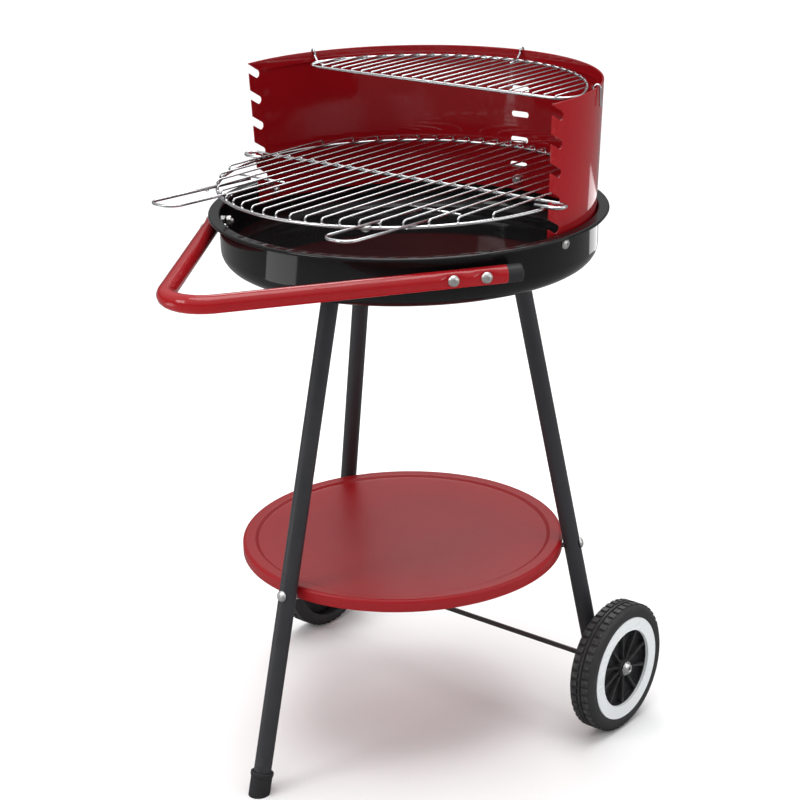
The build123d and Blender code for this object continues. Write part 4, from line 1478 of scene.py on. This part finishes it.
class GRILL_OT_rack_hooks(bpy.types.Operator):
    """Bend the three hooks that hang the warming rack over the shield's edge"""

    bl_idname = "grill.rack_hooks"
    bl_label = "Rack Hooks"

    def execute(self, context):
        low = RACK_Z - RACK_WIRE_D / 2 - HOOK_D / 2 - SEAT_GAP
        over = SHIELD_Z1 + HOOK_D / 2 + 0.9
        inside = shield_radius(SHIELD_Z1 - HEM) - 2 * SHIELD_GAUGE - HOOK_D / 2 - 0.4
        outside = SHIELD_R1 + HOOK_D / 2 + 0.8
        profile = [(RACK_R - 6, low), (inside - 8, low), (inside, low + 9), (inside, over),
                   (outside, over), (outside, over - HOOK_DROP)]
        wires = []
        beads = []
        for angle in HOOK_ANGLES:
            turn = math.radians(angle)
            points = [(radius * math.cos(turn), radius * math.sin(turn), z) for radius, z in profile]
            wires.append((points, [4.0, 4.0, 3.2, 3.2], HOOK_D))
            beads.append((RACK_R * math.cos(turn), RACK_R * math.sin(turn), low + HOOK_D / 2))
        chrome_piece("rack_hook_set", "warming_rack", "rack_hooks", wires, beads, 2.2)
        return {"FINISHED"}


# ---- stage ----

CAMERA_AT = (1.2883, -1.4880, 1.1100)
CAMERA_TURN = 0.007
CAMERA_DIP = 0.3505
CAMERA_ROLL = -0.024
CAMERA_FOCAL = 2.415
# Each soft light: its name, place, aim, width and height in metres, and power in watts.
SOFT_LIGHTS = (
    ("rear_panel", (-0.05, 1.35, 0.235), (0.05, 0.07, 0.235), (0.52, 0.14), 0.4),
    ("left_panel", (-0.85, -1.0, 0.2), (0, 0.0, 0.3), (0.7, 0.36), 1.6),
    ("side_softbox", (1.75, 0.65, 0.9), (0, 0.07, 0.5), (0.4, 1.8), 6),
    ("high_softbox", (-0.9, 1.3, 1.9), (0, 0, 0.4), (0.9, 0.9), 12),
    ("front_softbox", (-0.9, -2.2, 1.9), (0, 0, 0.4), (0.9, 1.1), 18),
)


class GRILL_OT_stage(bpy.types.Operator):
    """Lay the pale floor, hang the soft lights and set the camera"""

    bl_idname = "grill.stage"
    bl_label = "Stage"

    def execute(self, context):
        deselect()
        bpy.ops.mesh.primitive_plane_add(size=30, location=(0, 0, 0))
        floor = context.object
        floor.name = "studio_floor"
        paper = bpy.data.materials.new("studio_paper")
        paper.use_nodes = True
        shader = paper.node_tree.nodes["Principled BSDF"]
        grain = node(paper.node_tree, "TexNoise", Scale=1.5, Detail=2.0)
        tint = blend(paper.node_tree, grain.outputs["Fac"], (0.86, 0.86, 0.86, 1), (0.89, 0.89, 0.89, 1))
        # Glossy rays see the floor dark grey: painted shade in the grill's reflections, while the floor
        # itself looks pale.
        ray = node(paper.node_tree, "LightPath")
        shade = blend(paper.node_tree, ray.outputs["Is Glossy Ray"], tint, (0.2, 0.2, 0.2, 1))
        put(paper.node_tree, shader.inputs["Base Color"], shade)
        shader.inputs["Roughness"].default_value = 0.9
        floor.data.materials.append(paper)

        world = bpy.data.worlds.new("studio_air")
        context.scene.world = world
        world.use_nodes = True
        air = world.node_tree
        place = node(air, "TexCoord")
        parts = node(air, "SeparateXYZ", Vector=place.outputs["Generated"])
        rise = node(air, "ValToRGB", Fac=parts.outputs["Z"])
        rise.color_ramp.elements[0].position = 0.10
        rise.color_ramp.elements[0].color = (0.10, 0.10, 0.105, 1)
        rise.color_ramp.elements[1].position = 0.75
        rise.color_ramp.elements[1].color = (1.0, 1.0, 1.0, 1)
        sight = node(air, "LightPath")
        backdrop = blend(air, sight.outputs["Is Camera Ray"], rise.outputs["Color"],
                         (1.15, 1.15, 1.15, 1))
        air.links.new(backdrop, air.nodes["Background"].inputs["Color"])
        air.nodes["Background"].inputs["Strength"].default_value = 0.9

        for name, at, aim, size, power in SOFT_LIGHTS:
            bpy.ops.object.light_add(type="AREA", location=at)
            lamp = context.object
            lamp.name = name
            lamp.data.shape = "RECTANGLE"
            lamp.data.size, lamp.data.size_y = size
            lamp.data.energy = power
            lamp.visible_camera = False
            lamp.rotation_euler = (Vector(aim) - Vector(at)).to_track_quat("-Z", "Z").to_euler()
        bpy.ops.object.light_add(type="SUN", location=(0, 0, 3))
        sky = context.object
        sky.name = "overhead_light"
        sky.data.energy = 1.7
        sky.data.angle = math.radians(45)
        context.scene.view_settings.view_transform = "Standard"

        at = Vector(CAMERA_AT)
        base = math.atan2(-(at.y - BOWL_Y), -at.x) + CAMERA_TURN
        ahead = Vector((math.cos(base) * math.cos(CAMERA_DIP), math.sin(base) * math.cos(CAMERA_DIP),
                        -math.sin(CAMERA_DIP)))
        right = ahead.cross(UP).normalized()
        above = right.cross(ahead)
        level, lean = math.cos(CAMERA_ROLL), math.sin(CAMERA_ROLL)
        side, top = right * level + above * lean, above * level - right * lean
        turn = Matrix((side, top, -ahead)).transposed().to_4x4()
        data = bpy.data.cameras.new("studio_camera")
        data.lens = CAMERA_FOCAL * data.sensor_width
        camera = bpy.data.objects.new("studio_camera", data)
        camera.matrix_world = Matrix.Translation(at) @ turn
        context.collection.objects.link(camera)
        context.scene.camera = camera
        return {"FINISHED"}


# ---- panel and registration ----

PIECE_OPERATORS = (
    GRILL_OT_finishes, GRILL_OT_fire_bowl, GRILL_OT_wind_shield, GRILL_OT_shield_fasteners,
    GRILL_OT_push_handle, GRILL_OT_handle_fasteners, GRILL_OT_legs, GRILL_OT_leg_bolts, GRILL_OT_foot_cap,
    GRILL_OT_shelf, GRILL_OT_axle, GRILL_OT_wheels, GRILL_OT_grate_ring, GRILL_OT_grate_rods,
    GRILL_OT_grate_crossbar, GRILL_OT_grate_grips, GRILL_OT_rack_frame, GRILL_OT_rack_rods,
    GRILL_OT_rack_hooks, GRILL_OT_stage,
)


class GRILL_PT_panel(bpy.types.Panel):
    """The grill's settings and the buttons that build its pieces"""

    bl_idname = "GRILL_PT_panel"
    bl_label = "Round Charcoal Grill"
    bl_space_type = "VIEW_3D"
    bl_region_type = "UI"
    bl_category = "Grill"

    def draw(self, context):
        layout = self.layout
        for settings in (context.scene.grill_sizes, context.scene.grill_colours):
            box = layout.box()
            for name in settings.__annotations__:
                box.prop(settings, name)
        for operator in PIECE_OPERATORS:
            layout.operator(operator.bl_idname)


CLASSES = (GrillSizes, GrillColours) + PIECE_OPERATORS + (GRILL_PT_panel,)


def register():
    """Register the settings, the operators and the panel."""
    for each in CLASSES:
        bpy.utils.register_class(each)
    bpy.types.Scene.grill_sizes = PointerProperty(type=GrillSizes)
    bpy.types.Scene.grill_colours = PointerProperty(type=GrillColours)


def unregister():
    """Take the settings, the operators and the panel away again."""
    del bpy.types.Scene.grill_colours
    del bpy.types.Scene.grill_sizes
    for each in reversed(CLASSES):
        bpy.utils.unregister_class(each)


def main():
    """Build the grill piece by piece."""
    register()
    for operator in PIECE_OPERATORS:
        family, action = operator.bl_idname.split(".")
        getattr(getattr(bpy.ops, family), action)()
    deselect()


if __name__ == "__main__":
    main()
